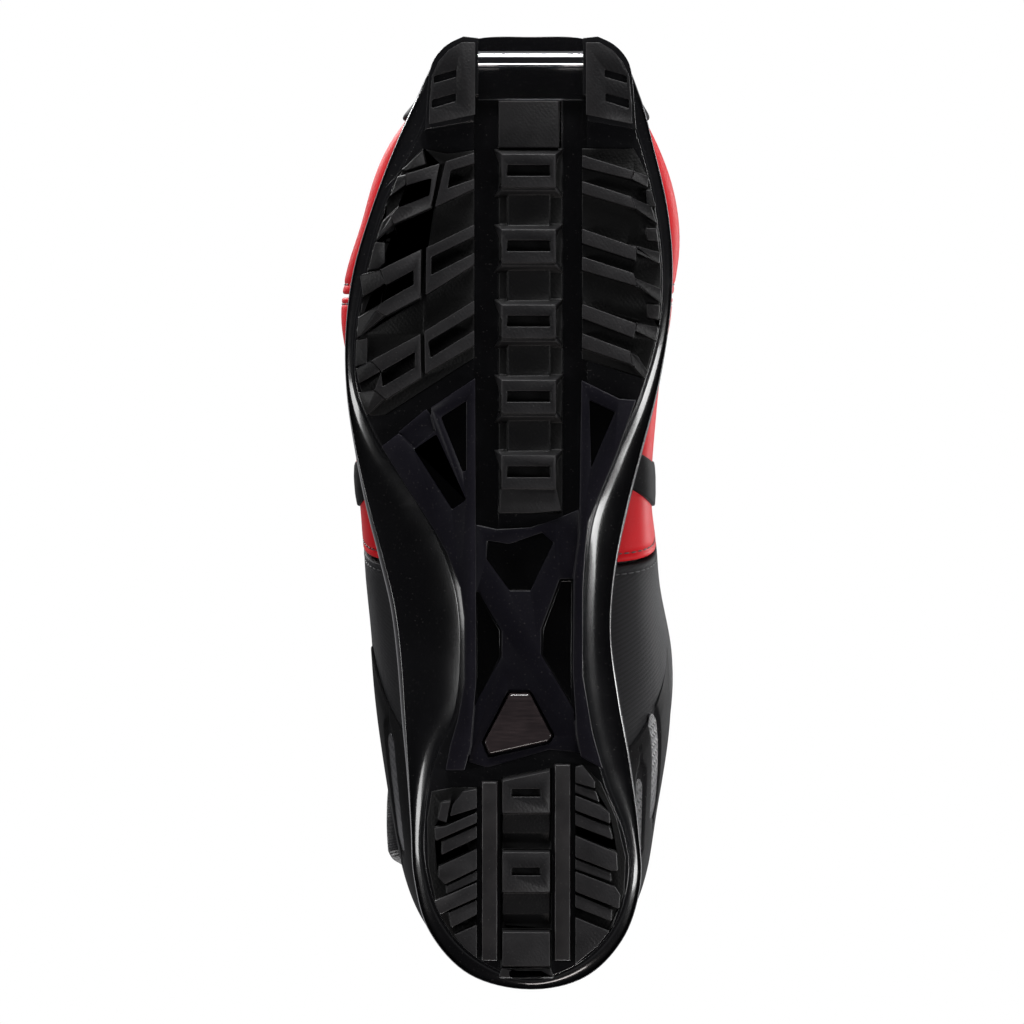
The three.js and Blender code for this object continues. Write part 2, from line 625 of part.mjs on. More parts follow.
function centreLadder() {
  const reach = grooveInner - fitGap;
  const railPlan = [[-reach, -129], [reach, -129], [reach, 0.4], [-reach, 0.4]];
  const apron = [[-9.4, -7.4], [8, -7.4], [9.6, -0.6], [0, 0.2], [-9.8, 0.2]];
  const parts = [
    slab(railPlan, lugHeight, lugHeight + padSkin),
    slab(strip(9.4, -128.8, -114.2), 2.6, lugFoot),
    slab(apron, 1.4, lugFoot),
  ];
  for (let i = 0; i < ladderBlocks; i++) {
    const front = ladderFirst + i * ladderPitch;
    const last = i === ladderBlocks - 1;
    parts.push(ladderBlock(front, last));
    if (!last) parts.push(slab(strip(6.6, front + 14, front + ladderPitch + 1), 3.4, lugFoot));
  }
  return joined(parts);
}

// Arch frame: two side rails that open into triangles at the front, tied by a crossed brace at the waist.
const archTop = lugHeight + padSkin;
const archStepFace = 2.2;
const inlayFace = 1.5;
const inlayCeiling = inlayFace + inlayThickness + fitGap;
const lateralRail = [
  [-17.3, -42], [-31.2, -32.8], [-31, -29.6], [-29.8, -25.4], [-36.4, -20], [-41.2, -24.8], [-44, -22.6],
  [-46.6, -20.6], [-39.8, -9.6], [-30, 5.6], [-26.2, 12.6], [-22, 23.6], [-20.8, 33], [-20.8, 53],
  [-22.8, 64.5], [-25.2, 73], [-26.6, 80.6], [-20.6, 80.6], [-18.6, 73], [-17, 53],
];
const lateralWindows = [
  [[-28, -29.8], [-20.2, -34.8], [-20.2, -13], [-21.2, -12.8]],
  [[-36.2, -19.4], [-29.6, -24], [-20.4, -3.8], [-24.5, -0.9]],
];
const lateralStep = [
  [-41.4, -25.1], [-32.6, -32.4], [-30.6, -30], [-29.6, -23.6], [-36.2, -19.2], [-38.4, -21.8],
];
const medialRail = [
  [15.9, -41.4], [27.8, -35.6], [33, -35.2], [26.6, -17.2], [20.8, -3.6], [18, 3], [17, 13.3], [16.4, 23],
  [16.3, 51], [19.4, 69], [22.6, 80.2], [15.8, 76.4], [14.4, 69.6], [13.2, 50], [13.4, 20], [15.1, 8],
];
const medialWindow = [[18.4, -35.2], [26.4, -31.4], [19, -14]];
const brace = [
  [-17.6, 3.6], [-10.4, 5.2], [0, 4.6], [8, 2], [17, -1.8], [15.6, 5], [14.2, 20.8], [9.2, 20.8], [3.4, 36.6],
  [3.3, 44.6], [13.6, 61.8], [14.8, 69.4], [16.4, 75.2], [6, 74.2], [-13.4, 79.8], [-19.6, 78],
  [-17.9, 61], [-9.1, 45.2], [-9.1, 37], [-16.3, 24.8], [-17.6, 24.8],
];
const waistWindow = [
  [-13.6, 8.8], [-6.5, 9.8], [3.6, 6.3], [7.2, 9.4], [0, 24.4], [-6.6, 24.4], [-13.8, 14.6],
];
const inlaySeat = [[-6.9, 55.6], [0, 55.6], [7.5, 69.8], [6.1, 72.3], [-13.3, 76.7], [-15.2, 72]];

// Hollows in the sole above the frame's openings.
const pocketCeiling = 10.6;
const archPockets = [
  ...lateralWindows,
  medialWindow,
  waistWindow,
  [[-16.6, 25.6], [-9.8, 37], [-9.8, 45.2], [-16.6, 59]],
  [[12.8, 21.6], [9.8, 21.6], [4.1, 36.6], [4, 44.6], [12.6, 59.2]],
];

function archFrame() {
  let frame = slab(lateralRail, railFace, archTop, lateralWindows);
  frame = frame.add(slab(medialRail, railFace, archTop, [medialWindow]));
  frame = frame.add(slab(brace, braceFace, archTop, [waistWindow]));
  frame = frame.add(slab(lateralStep, archStepFace, archTop));
  return frame.subtract(slab(inlaySeat, 1, inlayCeiling));
}

function archInlay() {
  const face = [[-6.4, 57], [-0.6, 57], [6.4, 69.9], [5.4, 71.3], [-12.8, 75.4], [-14.2, 72]];
  const foot = [[-6.6, 56.2], [-0.3, 56.2], [7, 69.9], [5.7, 71.8], [-13, 76], [-14.7, 72]];
  return taperedBlock(face, foot, inlayFace, inlayFace + inlayThickness);
}

// Heel: a centre strip with three blocks, a rib on each side of it, and fanned bars to the edge.
const heelAxis = -1.4;
const heelRibFace = 0.8; // above the tread face
const heelEdge = [heelAxis - heelHalf, heelAxis + heelHalf];
const heelSlot = { half: 4.6, length: 2.4, depth: 2.6 };
const heelBlocks = [
  { front: [84, 80.8], back: 93.8, slot: 86.4 },
  { front: [106.2, 106.2], back: 118.6, slot: 111 },
  { front: [131.2, 131.2], back: 141.8 },
];
const heelRamps = [[93.4, 100], [118.4, 125.4]];
const heelArcs = [142.5, 143.6, 144.7]; // shallow cuts across the very back

// A quadrilateral between two lines across the strip, spread sideways by a margin. Each line is a y, or a y
// for the lateral and one for the medial edge.
function acrossHeel(front, back, spread = 0) {
  const [a, b] = [heelEdge[0] - spread, heelEdge[1] + spread];
  const [front0, front1] = [front].flat().length === 2 ? front : [front, front];
  return [[a, front0], [b, front1], [b, back], [a, back]];
}

function heelBlock({ front, back, slot }) {
  const draft = 0.8;
  const foot = acrossHeel(front.map((y) => y - draft), back + draft, 0.3);
  const block = taperedBlock(acrossHeel(front, back), foot, 0, lugFoot);
  if (!slot) return block;
  const [a, b] = [heelAxis - heelSlot.half, heelAxis + heelSlot.half];
  const end = slot + heelSlot.length;
  return block.subtract(slab([[a, slot], [b, slot], [b, end], [a, end]], -1, heelSlot.depth));
}

function heelCentre() {
  const parts = [slab(acrossHeel([83.4, 80.2], 146, 0.6), lugHeight, lugHeight + padSkin)];
  for (const block of heelBlocks) parts.push(heelBlock(block));
  for (const [front, back] of heelRamps)
    parts.push(taperedBlock(acrossHeel(front, back), acrossHeel(front, back + 4), 2.4, lugFoot));
  const [a, b] = heelEdge;
  parts.push(taperedBlock(
    [[a - 0.2, 142.2], [b + 0.2, 142.2], [b + 1.2, 145.4], [a - 1.2, 145.4]],
    [[a - 0.2, 142], [b + 0.2, 142], [b + 1.2, 145.8], [a - 1.2, 145.8]],
    1, lugFoot,
  ));
  return heelArcs.reduce((made, y) => {
    const arc = [[heelAxis - 5, y], [heelAxis + 5, y], [heelAxis + 4.4, y + 0.5], [heelAxis - 4.4, y + 0.5]];
    return made.subtract(slab(arc, -1, 1.6));
  }, joined(parts));
}

function heelRib(side) {
  const x = heelAxis + side * ribCentre;
  const front = side < 0 ? 84.4 : 79;
  const back = 140;
  const outline = (half, y0, y1) => [[x - half, y0], [x + half, y0], [x + half, y1], [x - half, y1]];
  const foot = outline(ribHalf + 0.3, front - 0.4, back + 0.4);
  return taperedBlock(outline(ribHalf, front, back), foot, heelRibFace, lugHeight + padSkin);
}

// Side treads of the heel: blocks on the tread face, with lower bars between them.
const heelBar = 0.7; // face of a bar above the tread face
const heelInner = { lateral: -16.8, medial: 14 };
const lateralHeel = {
  floor: [
    [heelInner.lateral, 86], [-24, 86], [-31, 87.4], [-32.4, 96], [-32.2, 110], [-29.4, 123.6],
    [-24.6, 132.6], [heelInner.lateral, 139.4],
  ],
  blocks: [
    [[-21.2, 87.2], [-16.8, 86.4], [-16.8, 92.4], [-25.2, 95], [-24.4, 91.4]],
    [[-26.6, 98], [-16.8, 93.7], [-16.8, 97], [-29.6, 102.6], [-30, 98.6]],
    [[-28.6, 110.6], [-16.8, 105.2], [-16.8, 111.4], [-26.8, 116.2], [-28.8, 114]],
    [[-27.2, 120.2], [-16.8, 115.6], [-16.8, 120.4], [-28.4, 125.6], [-30, 121.4]],
    [[-23.8, 132], [-16.8, 128.9], [-16.8, 139.2], [-20.4, 136.2]],
  ],
  bars: [
    [[-28, 90.6], [-24.8, 90.2], [-26.4, 97], [-29, 96]],
    [[-27.6, 102.8], [-16.8, 98], [-16.8, 101.8], [-27.8, 107]],
    [[-26.4, 116.8], [-16.8, 112.1], [-16.8, 115], [-26.2, 119.4]],
    [[-25.6, 125], [-16.8, 121.2], [-16.8, 125.7], [-24.8, 129.8]],
  ],
};
const medialHeel = {
  floor: [
    [heelInner.medial, 79.4], [16.4, 78.8], [22, 84.6], [27, 96], [29.8, 108], [29.4, 119], [25.6, 130.2],
    [heelInner.medial, 141.4],
  ],
  blocks: [
    [[14, 79.5], [16.2, 78.9], [20, 84], [20, 86.2], [14, 84.4]],
    [[14, 88.4], [21.8, 91.6], [24.6, 94], [24.8, 97.2], [14, 93.1]],
    [[14, 101], [26.8, 106.3], [27.2, 112], [25.2, 112], [14, 107.7]],
    [[14, 112.2], [26.4, 117], [28, 119.6], [27.6, 123.8], [14, 118.5]],
    [[14, 126.5], [24.6, 130.9], [20.8, 135.6], [14, 141.2]],
  ],
  bars: [
    [[14, 85], [20.4, 87.2], [21.4, 90.6], [14, 87.6]],
    [[14, 94], [24.8, 98.4], [25.6, 102.2], [14, 97.8]],
    [[14, 108.3], [25, 112.7], [25.2, 115.5], [14, 111.5]],
    [[14, 119.4], [25.4, 124.2], [25.2, 127.8], [14, 123.4]],
  ],
};

function heelSide(plan) {
  const raised = (outline) => outline.map(([x, y]) => [x, y, heelBar]);
  const lugs = [...plan.blocks, ...plan.bars.map(raised)].map((outline) => lug(outline));
  return joined([slab(plan.floor, lugHeight, lugHeight + padSkin), ...lugs]);
}

const sole = new THREE.Group();
boot.add(sole);
add("sole_frame", soleFrame(), finish.frame, sole);
add("toe_bar", toeBar(), finish.steel, sole);
add("toe_lug_lateral", toeLug((outline) => outline), finish.rubber, sole);
add("toe_lug_medial", toeLug(mirrored), finish.rubber, sole);
add("forefoot_tread_lateral", lateralTread(), finish.rubber, sole);
add("forefoot_tread_medial", medialTread(), finish.rubber, sole);
add("centre_ladder", centreLadder(), finish.rubber, sole);
add("arch_frame", archFrame(), finish.rubber, sole);
add("arch_inlay", archInlay(), finish.inlay, sole);
add("heel_centre_tread", heelCentre(), finish.rubber, sole);
add("heel_rib_lateral", heelRib(-1), finish.shell, sole);
add("heel_rib_medial", heelRib(1), finish.shell, sole);
add("heel_tread_lateral", heelSide(lateralHeel), finish.rubber, sole);
add("heel_tread_medial", heelSide(medialHeel), finish.rubber, sole);

// ---- upper ----
// u runs once round a section from the front ridge: lateral side, sole or back (pi), medial side.
const round = (u) => (u <= Math.PI ? -u : 2 * Math.PI - u);
const mix = THREE.MathUtils.lerp;

const rowsBetween = (s0, s1) => ringStations(s1, s0).map((s) => (s - s0) / (s1 - s0));

// A plain patch between two stations and two turns on one side of the boot (side is -1 lateral, 1 medial).
function sidePatch(side, s0, s1, turn0, turn1, depths, nb) {
  const domain = (a, b) => [mix(s0, s1, a), side * mix(turn0, turn1, b)];
  return patch(domain, depths[0], depths[1], rowsBetween(s0, s1), nb);
}

// A patch that wraps from one side, round the sole or back, to the other side.
function wrapPatch(s0, s1, turn0, depths, nb) {
  const domain = (a, b) => [mix(s0, s1, a), round(mix(turn0, 2 * Math.PI - turn0, b))];
  return patch(domain, depths[0], depths[1], rowsBetween(s0, s1), nb);
}

// A patch across the front ridge.
function frontPatch(s0, s1, turn1, depths, nb) {
  const domain = (a, b) => [mix(s0, s1, a), mix(-turn1, turn1, b)];
  return patch(domain, depths[0], depths[1], rowsBetween(s0, s1), nb);
}

const seam = 0.04; // part of a station between two panels that meet edge to edge
const capEnd = 2.6; // stations at which the pieces end
const vampEnd = 4.9;
const sideEnd = 7.6;
const bridgeStart = 4.3;
const coverStart = 5.95;
const coverEnd = 13;
const collarStart = 13.05;
const bottomTurn = 2.72; // the panels turn under the foot as far as this
const eyestayEnd = 12.6;
const eyestayTurn = [0.36, 0.82];
const coverTurn = 0.88;
const tongueTurn = 0.46;
const backSeam = 0.012; // turn left between the two quarters down the back
const boardEnd = 9.3;

function toeCap() {
  return filled(overlay[0], capEnd).subtract(filled(overlay[1], capEnd + 0.5));
}

function vampLining() {
  return filled(liner[0], vampEnd).subtract(filled(liner[1], vampEnd + 0.5));
}

function vamp() {
  return frontPatch(0.9, vampEnd, bottomTurn, panel, 24);
}

// A row of punched lace holes down one edge of the opening.
function eyestay(side) {
  const [inner, outer] = eyestayTurn;
  const holeTurn = side * mix(inner, outer, 0.4);
  let stay = sidePatch(side, vampEnd + seam, eyestayEnd, inner, outer, panel, 3);
  for (let i = 0; i < laceHoles; i++) {
    const s = mix(vampEnd + 0.6, eyestayEnd - 0.8, i / (laceHoles - 1));
    const place = skin(s, holeTurn, panel[0]);
    const inward = skin(s, holeTurn, panel[1] + 4).sub(place).normalize();
    const punch = new THREE.CylinderGeometry(laceHoleRadius, laceHoleRadius, 14, 8);
    punch.applyQuaternion(new THREE.Quaternion().setFromUnitVectors(new THREE.Vector3(0, 1, 0), inward));
    punch.translate(place.x, place.y, place.z);
    stay = stay.subtract(solid(punch));
  }
  return stay;
}

// The rear side panels, which close under the heel behind the lasting board and meet down the back.
function quarter(side) {
  const s0 = sideEnd + seam;
  const domain = (a, b) => {
    const s = mix(s0, coverEnd, a);
    const closing = THREE.MathUtils.smoothstep(s, boardEnd + 0.25, boardEnd + 1.1);
    const outer = mix(bottomTurn, Math.PI - backSeam, closing);
    return [s, side * mix(eyestayTurn[1] + 0.02, outer, b)];
  };
  return patch(domain, panel[0], panel[1], rowsBetween(s0, coverEnd), 11);
}

// Heel counter, with through slots that hold its woven inlay plates. Each plate leans from turn[0] at its
// front end to turn[1] at its back end, and is width wide, in radians.
const counterPlates = [
  { name: "counter_plate_medial_upper", side: 1, s: [8.75, 9.85], turn: [2.26, 2.02], width: 0.15 },
  { name: "counter_plate_medial_lower", side: 1, s: [9.2, 10.1], turn: [2.38, 2.2], width: 0.12 },
  { name: "counter_plate_lateral", side: -1, s: [8.95, 10.2], turn: [2.16, 2.04], width: 0.16 },
];

function platePatch(plate, grow, depths) {
  const edge = grow / 45; // millimetres to turn, and near enough to stations, on the heel's side
  const domain = (a, b) => {
    const narrowing = 0.34 * Math.pow(Math.abs(2 * a - 1), 4); // towards rounded ends
    const width = (plate.width + 2 * edge) * (1 - narrowing);
    return [
      mix(plate.s[0] - edge * 1.6, plate.s[1] + edge * 1.6, a),
      plate.side * (mix(plate.turn[0], plate.turn[1], a) + (b - 0.5) * width),
    ];
  };
  return patch(domain, depths[0], depths[1], 8, 3);
}

function heelCounter() {
  const turn = 1.78;
  const domain = (a, b) => {
    const back = Math.sin(Math.PI * b);
    const low = mix(8.5, 9.25, back);
    const high = mix(12.1, 12.85, back);
    return [mix(low, high, a), round(mix(turn, 2 * Math.PI - turn, b))];
  };
  let counter = layer(domain, overlay, 10, 24);
  for (const plate of counterPlates) counter = counter.subtract(platePatch(plate, fitGap, [-3, 5]));
  return counter;
}

// Diagonal arm from the sole up to the instep cover.
function instepArm(side) {
  const domain = (a, b) => {
    const low = mix(6.95, 6.45, b);
    return [low + a * mix(0.5, 0.36, b), side * mix(coverTurn + 0.03, bottomTurn, b)];
  };
  return layer(domain, overlay, 3, 12);
}

// ---- instep zip ----
const zipHalfGap = 0.058; // turn at which each cover's edge stands off the ridge
const zipStart = new THREE.Vector2(-45 * ky, lift(88)); // straight stretch of the front ridge
const zipEnd = new THREE.Vector2(31 * ky, lift(140.6));
const zipRun = zipEnd.clone().sub(zipStart).normalize();
const zipNormal = new THREE.Vector2(-zipRun.y, zipRun.x);
const ridgeX = stationValue((p) => p.middle, 9.5) * kx;

// A shape drawn in the zip's side view (along the run, up from the skin), spread across the ridge.
function alongZip(outline, width) {
  const place = ([run, up]) => new THREE.Vector3(
    0,
    zipEnd.x + zipRun.x * run + zipNormal.x * up,
    zipEnd.y + zipRun.y * run + zipNormal.y * up,
  );
  const points = [];
  for (const x of [-width / 2, width / 2])
    for (const corner of outline) points.push(place(corner).setX(ridgeX + x));
  const n = outline.length;
  const triangles = [];
  const flat = outline.map(([a, b]) => new THREE.Vector2(a, b));
  const faces = THREE.ShapeUtils.triangulateShape(flat, []);
  for (const [a, b, c] of faces) triangles.push([a, b, c], [n + a, n + c, n + b]);
  const turned = THREE.ShapeUtils.isClockWise(flat);
  for (let i = 0; i < n; i++) {
    const [p, q] = turned ? [(i + 1) % n, i] : [i, (i + 1) % n];
    triangles.push([q, p, n + p], [q, n + p, n + q]);
  }
  return solid(meshOf(points, triangles));
}

const sliderBase = sliderClearance;
const sliderBack = -1; // along the run from the zip's upper end
const sliderFront = sliderBack - sliderLength;
const pinUp = sliderBase + sliderHeight + 1.3; // hinge axis of the pull above the skin
const pinRun = sliderFront + 4.2;
function zipSlider() {
  const [front, back] = [sliderFront, sliderBack];
  const body = alongZip(
    [
      [front, sliderBase + 1], [front + 1, sliderBase], [back - 1, sliderBase], [back, sliderBase + 1],
      [back - 0.4, sliderBase + sliderHeight - 1], [back - 2, sliderBase + sliderHeight],
      [front + 2, sliderBase + sliderHeight], [front + 0.4, sliderBase + sliderHeight - 1],
    ],
    sliderWidth,
  );
  const bridge = alongZip(
    [
      [front + 1.6, sliderBase + sliderHeight - 0.2], [back - 2, sliderBase + sliderHeight - 0.2],
      [back - 2.6, pinUp + 1.7], [front + 2.2, pinUp + 1.7],
    ],
    1.8,
  );
  const [low, high] = [pinUp - 0.9, pinUp + 0.9];
  const eye = alongZip(
    [[pinRun - 1.2, low], [pinRun + 1.2, low], [pinRun + 1.2, high], [pinRun - 1.2, high]],
    4,
  );
  return body.add(bridge).subtract(eye);
}

// The pull hooks through the bridge's eye and lies down the instep.
function zipPull() {
  const top = pinUp + pullThickness / 2 - 0.25;
  const low = top - pullThickness;
  const plate = alongZip(
    [[pinRun - pullLength, low], [pinRun - 3.2, low], [pinRun - 3.2, top], [pinRun - pullLength, top]],
    pullWidth,
  );
  const arms = alongZip(
    [[pinRun - 4, low + 0.2], [pinRun + 0.6, pinUp - 0.6], [pinRun + 0.6, pinUp + 0.6], [pinRun - 4, top]],
    pullWidth,
  );
  const between = alongZip(
    [[pinRun - 3.2, low - 2], [pinRun - 0.55, low - 2], [pinRun - 0.55, top + 2], [pinRun - 3.2, top + 2]],
    2.8,
  );
  const grip = alongZip(
    [
      [pinRun - pullLength + 3, low - 1], [pinRun - pullLength + 9, low - 1],
      [pinRun - pullLength + 9, top + 1], [pinRun - pullLength + 3, top + 1],
    ],
    2.4,
  );
  return plate.add(arms).subtract(between).subtract(grip);
}

function zipTape(side) {
  const reach = zipTapeWidth / 45;
  return sidePatch(side, coverStart, 10.3, 0.012, reach, [panel[0], panel[0] + zipTapeThickness], 2);
}

function cover(side) {
  return sidePatch(side, coverStart, coverEnd, zipHalfGap, coverTurn, overlay, 5);
}

// ---- ankle strap ----
// The strap runs over the front of the ankle and down towards the heel, square to its own width: a is its
// place across the width, and turn is its place along the strap.
const strapStations = [11.15, 12.65];
const strapShear = 0.2; // how far the turn grows across the width, as a share
const strapUnder = 2 * fitGap + strapPadThickness; // underside of the strap above the skin
const strapDepth = [-(strapUnder + strapThickness), -strapUnder];
const strapRootTurn = 1.5;
const strapTipTurn = 0.9;
const strapRootEnd = 1.95;
const strapHinge = 0.01; // turn from the strap's end to its stitched fold

function strapPlace(a, turn) {
  return [mix(strapStations[0], strapStations[1], a), turn * (1 + strapShear * (a - 0.5))];
}

function ankleStrap() {
  const domain = (a, b) => {
    const taper = 0.15 * Math.pow(b, 8);
    return strapPlace(mix(taper, 1 - taper, a), mix(-strapRootTurn, strapTipTurn, b));
  };
  return patch(domain, strapDepth[0], strapDepth[1], 4, 22);
}

function strapRoot() {
  const domain = (a, b) => strapPlace(a, -mix(strapRootTurn + 2 * strapHinge, strapRootEnd, b));
  return patch(domain, strapDepth[0], -fitGap, 4, 5);
}

function strapPad() {
  const domain = (a, b) => strapPlace(mix(0.07, 0.93, a), mix(strapTipTurn - 0.66, strapTipTurn - 0.03, b));
  return patch(domain, -(fitGap + strapPadThickness), -fitGap, 4, 6);
}

// ---- collar ----
const collar = [0.4, 0.4 + collarThickness];

// Pull loop at the back: a flat ring of webbing with round ends, standing on edge.
function heelLoop() {
  const x0 = stationValue((p) => p.middle, 13.5) * kx - loopWidth / 2;
  const middle = 140.2 * ky + loopDepth / 2;
  const [z0, z1] = [lift(126), lift(163)];
  const ring = (radius, x, width) => {
    const shape = new THREE.Shape();
    shape.absarc(middle, z1 - loopDepth / 2, radius, 0, Math.PI, false);
    shape.absarc(middle, z0 + loopDepth / 2, radius, Math.PI, 2 * Math.PI, false);
    const options = { depth: width, bevelEnabled: false, curveSegments: 6 };
    const geometry = new THREE.ExtrudeGeometry(shape, options);
    geometry.applyMatrix4(new THREE.Matrix4().makeBasis(
      new THREE.Vector3(0, 1, 0), new THREE.Vector3(0, 0, 1), new THREE.Vector3(1, 0, 0),
    ));
    geometry.translate(x, 0, 0);
    return solid(geometry);
  };
  return ring(loopDepth / 2, x0, loopWidth).subtract(ring(loopDepth / 2 - loopWall, x0 - 2, loopWidth + 4));
}

// ---- the upper's pieces, from the inside out ----
const upper = new THREE.Group();
boot.add(upper);
const shankTurn = 2.82;
const footbedDepth = [cavityDepth, cavityDepth + footbedThickness];
const tongueDepth = [liner[0], liner[0] + tongueThickness];
const plateDepth = [0.5, overlay[1]];
const ankleLining = wrapPatch(vampEnd + seam, coverEnd, tongueTurn + 0.06, liner, 24);
const tongue = frontPatch(vampEnd + 0.12, 13.85, tongueTurn, tongueDepth, 6);
const bridge = frontPatch(bridgeStart, coverStart - seam, coverTurn, overlay, 12);

add("shank_plate", wrapPatch(4, 9.1, shankTurn, overlay, 4), finish.shell, upper);
add("lasting_board", wrapPatch(1.1, boardEnd, bottomTurn + 0.04, panel, 4), finish.board, upper);
add("vamp_lining", vampLining(), finish.lining, upper);
add("ankle_lining", ankleLining, finish.lining, upper);
add("footbed", wrapPatch(1.3, 10, 2.3, footbedDepth, 6), finish.fabric, upper);
add("tongue", tongue, finish.fabric, upper);
add("toe_cap", toeCap(), finish.shell, upper);
add("vamp", vamp(), finish.red, upper);
for (const [side, word] of [[-1, "lateral"], [1, "medial"]]) {
  const sidePanel = sidePatch(side, vampEnd + seam, sideEnd, eyestayTurn[1] + 0.02, bottomTurn, panel, 9);
  add(`side_panel_${word}`, sidePanel, finish.red, upper);
  add(`quarter_${word}`, quarter(side), finish.fabric, upper);
  add(`eyestay_${word}`, eyestay(side), finish.webbing, upper);
  add(`instep_arm_${word}`, instepArm(side), finish.shell, upper);
  add(`cover_${word}`, cover(side), finish.fabric, upper);
  add(`zip_tape_${word}`, zipTape(side), finish.webbing, upper);
}
add("instep_bridge", bridge, finish.fabric, upper);
add("heel_counter", heelCounter(), finish.shell, upper);
for (const plate of counterPlates) add(plate.name, platePatch(plate, 0, plateDepth), finish.inlay, upper);
add("collar_padding", wrapPatch(collarStart, 14, tongueTurn + 0.08, collar, 28), finish.lining, upper);
add("heel_loop", heelLoop(), finish.webbing, upper);
add("zip_slider", zipSlider(), finish.steel, upper);
add("zip_pull", zipPull(), finish.steel, upper);
add("strap_root", strapRoot(), finish.webbing, upper);
add("strap_pad", strapPad(), finish.webbing, upper);
add("ankle_strap", ankleStrap(), finish.webbing, upper);

// Origin under the middle of the whole boot, on the tread.
const extent = new THREE.Box3().setFromObject(boot);
boot.position.set(-(extent.min.x + extent.max.x) / 2, -(extent.min.y + extent.max.y) / 2, -extent.min.z);

export default boot;
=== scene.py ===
"""A cross country ski boot for the right foot: its visible surfaces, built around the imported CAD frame.

The row frame is in metres, +Z up, toe towards -Y, medial side towards +X, tread on z = 0.
"""
import math

import bmesh
import bpy
import numpy as np
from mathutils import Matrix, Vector


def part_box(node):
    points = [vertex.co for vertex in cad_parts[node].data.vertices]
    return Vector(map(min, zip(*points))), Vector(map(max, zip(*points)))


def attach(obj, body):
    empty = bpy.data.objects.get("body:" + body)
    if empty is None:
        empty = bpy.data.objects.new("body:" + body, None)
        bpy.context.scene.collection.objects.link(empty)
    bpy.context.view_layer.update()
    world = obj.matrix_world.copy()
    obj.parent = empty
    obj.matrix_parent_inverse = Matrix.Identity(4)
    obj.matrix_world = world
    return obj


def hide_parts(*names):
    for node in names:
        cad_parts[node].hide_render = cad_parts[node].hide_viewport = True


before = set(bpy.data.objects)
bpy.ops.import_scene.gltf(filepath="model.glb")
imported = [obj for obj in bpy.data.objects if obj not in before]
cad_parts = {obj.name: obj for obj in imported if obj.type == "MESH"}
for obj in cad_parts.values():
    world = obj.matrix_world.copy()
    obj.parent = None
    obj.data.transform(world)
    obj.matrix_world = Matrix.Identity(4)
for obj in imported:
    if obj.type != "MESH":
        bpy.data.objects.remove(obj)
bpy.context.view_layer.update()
collection = bpy.context.scene.collection


# ==== camera ====
# The camera looks straight up at the sole, with the toe at the top of the picture and the lateral side on
# the left. The long lens keeps the sides of the upper nearly parallel.
camera_distance = 2.0
view_width = 0.32
camera = bpy.data.objects.new("camera", bpy.data.cameras.new("camera"))
camera.data.sensor_width = 36
camera.data.lens = camera.data.sensor_width * camera_distance / view_width
camera.data.clip_end = 50
camera.location = (0.0004, -0.0005, -camera_distance)
camera.rotation_euler = (math.pi, 0, 0)
collection.objects.link(camera)
bpy.context.scene.camera = camera


# ==== studio: floor, lights and surroundings ====
# A pale floor lies just under the tread. It shows only from above, so the sole can be seen and lit from
# below. Soft boxes round the toe, both sides and the heel draw the bright lines along the rubber's edges.
def put(tree, kind, inputs=None, **settings):
    """Adds a shader or geometry node. inputs sets or links its sockets, by name or by number."""
    made = tree.nodes.new(kind)
    for key, value in settings.items():
        setattr(made, key, value)
    for key, value in (inputs or {}).items():
        if isinstance(value, bpy.types.NodeSocket):
            tree.links.new(value, made.inputs[key])
        else:
            made.inputs[key].default_value = value
    return made


def soft_box(name, place, target, size, watts, tint=(1, 1, 1)):
    light = bpy.data.lights.new(name, "AREA")
    light.shape = "RECTANGLE"
    light.size, light.size_y = size
    light.energy = watts
    light.color = tint
    lamp = bpy.data.objects.new(name, light)
    lamp.location = place
    lamp.rotation_euler = (Vector(target) - Vector(place)).to_track_quat("-Z", "Y").to_euler()
    collection.objects.link(lamp)
    return lamp


soft_box("box_toe", (0, -1.5, -0.42), (0, -0.05, 0.0), (1.0, 0.16), 30)
soft_box("box_toe_low", (0, -1.35, -1.25), (0, 0, 0), (1.1, 0.5), 5)
soft_box("box_lateral", (-1.4, 0.25, -0.75), (0, 0.02, 0.02), (0.3, 1.2), 11)
soft_box("box_medial", (1.4, 0.35, -0.62), (0, 0.03, 0.03), (0.3, 1.2), 15)
soft_box("box_heel", (0.35, 1.5, -0.55), (0, 0.1, 0.02), (0.9, 0.25), 8, (1, 0.93, 0.9))
soft_box("box_key", (-0.9, -1.1, 1.5), (0, 0, 0.08), (0.9, 0.9), 42)
soft_box("box_fill", (1.5, -0.2, 1.1), (0, 0, 0.08), (0.9, 0.9), 24)
soft_box("box_back", (0.4, 1.5, 1.2), (0, 0.05, 0.1), (1.0, 0.5), 26)

floor_mesh = bpy.data.meshes.new("floor")
floor_half = 6.0
floor_height = -0.0004
floor_mesh.from_pydata(
    [(x * floor_half, y * floor_half, floor_height) for x, y in ((-1, -1), (1, -1), (1, 1), (-1, 1))],
    [],
    [(0, 1, 2, 3)],
)
floor = bpy.data.objects.new("floor", floor_mesh)
collection.objects.link(floor)
floor_finish = bpy.data.materials.new("floor_paper")
floor_finish.use_nodes = True
tree = floor_finish.node_tree
tree.nodes.clear()
paper = put(tree, "ShaderNodeBsdfDiffuse", {"Color": (0.86, 0.86, 0.86, 1)})
clear = put(tree, "ShaderNodeBsdfTransparent")
side = put(tree, "ShaderNodeNewGeometry")
either = put(
    tree, "ShaderNodeMixShader", {0: side.outputs["Backfacing"], 1: paper.outputs[0], 2: clear.outputs[0]}
)
put(tree, "ShaderNodeOutputMaterial", {"Surface": either.outputs[0]})
floor_mesh.materials.append(floor_finish)
floor.visible_shadow = False
floor.visible_diffuse = False
floor.visible_glossy = False

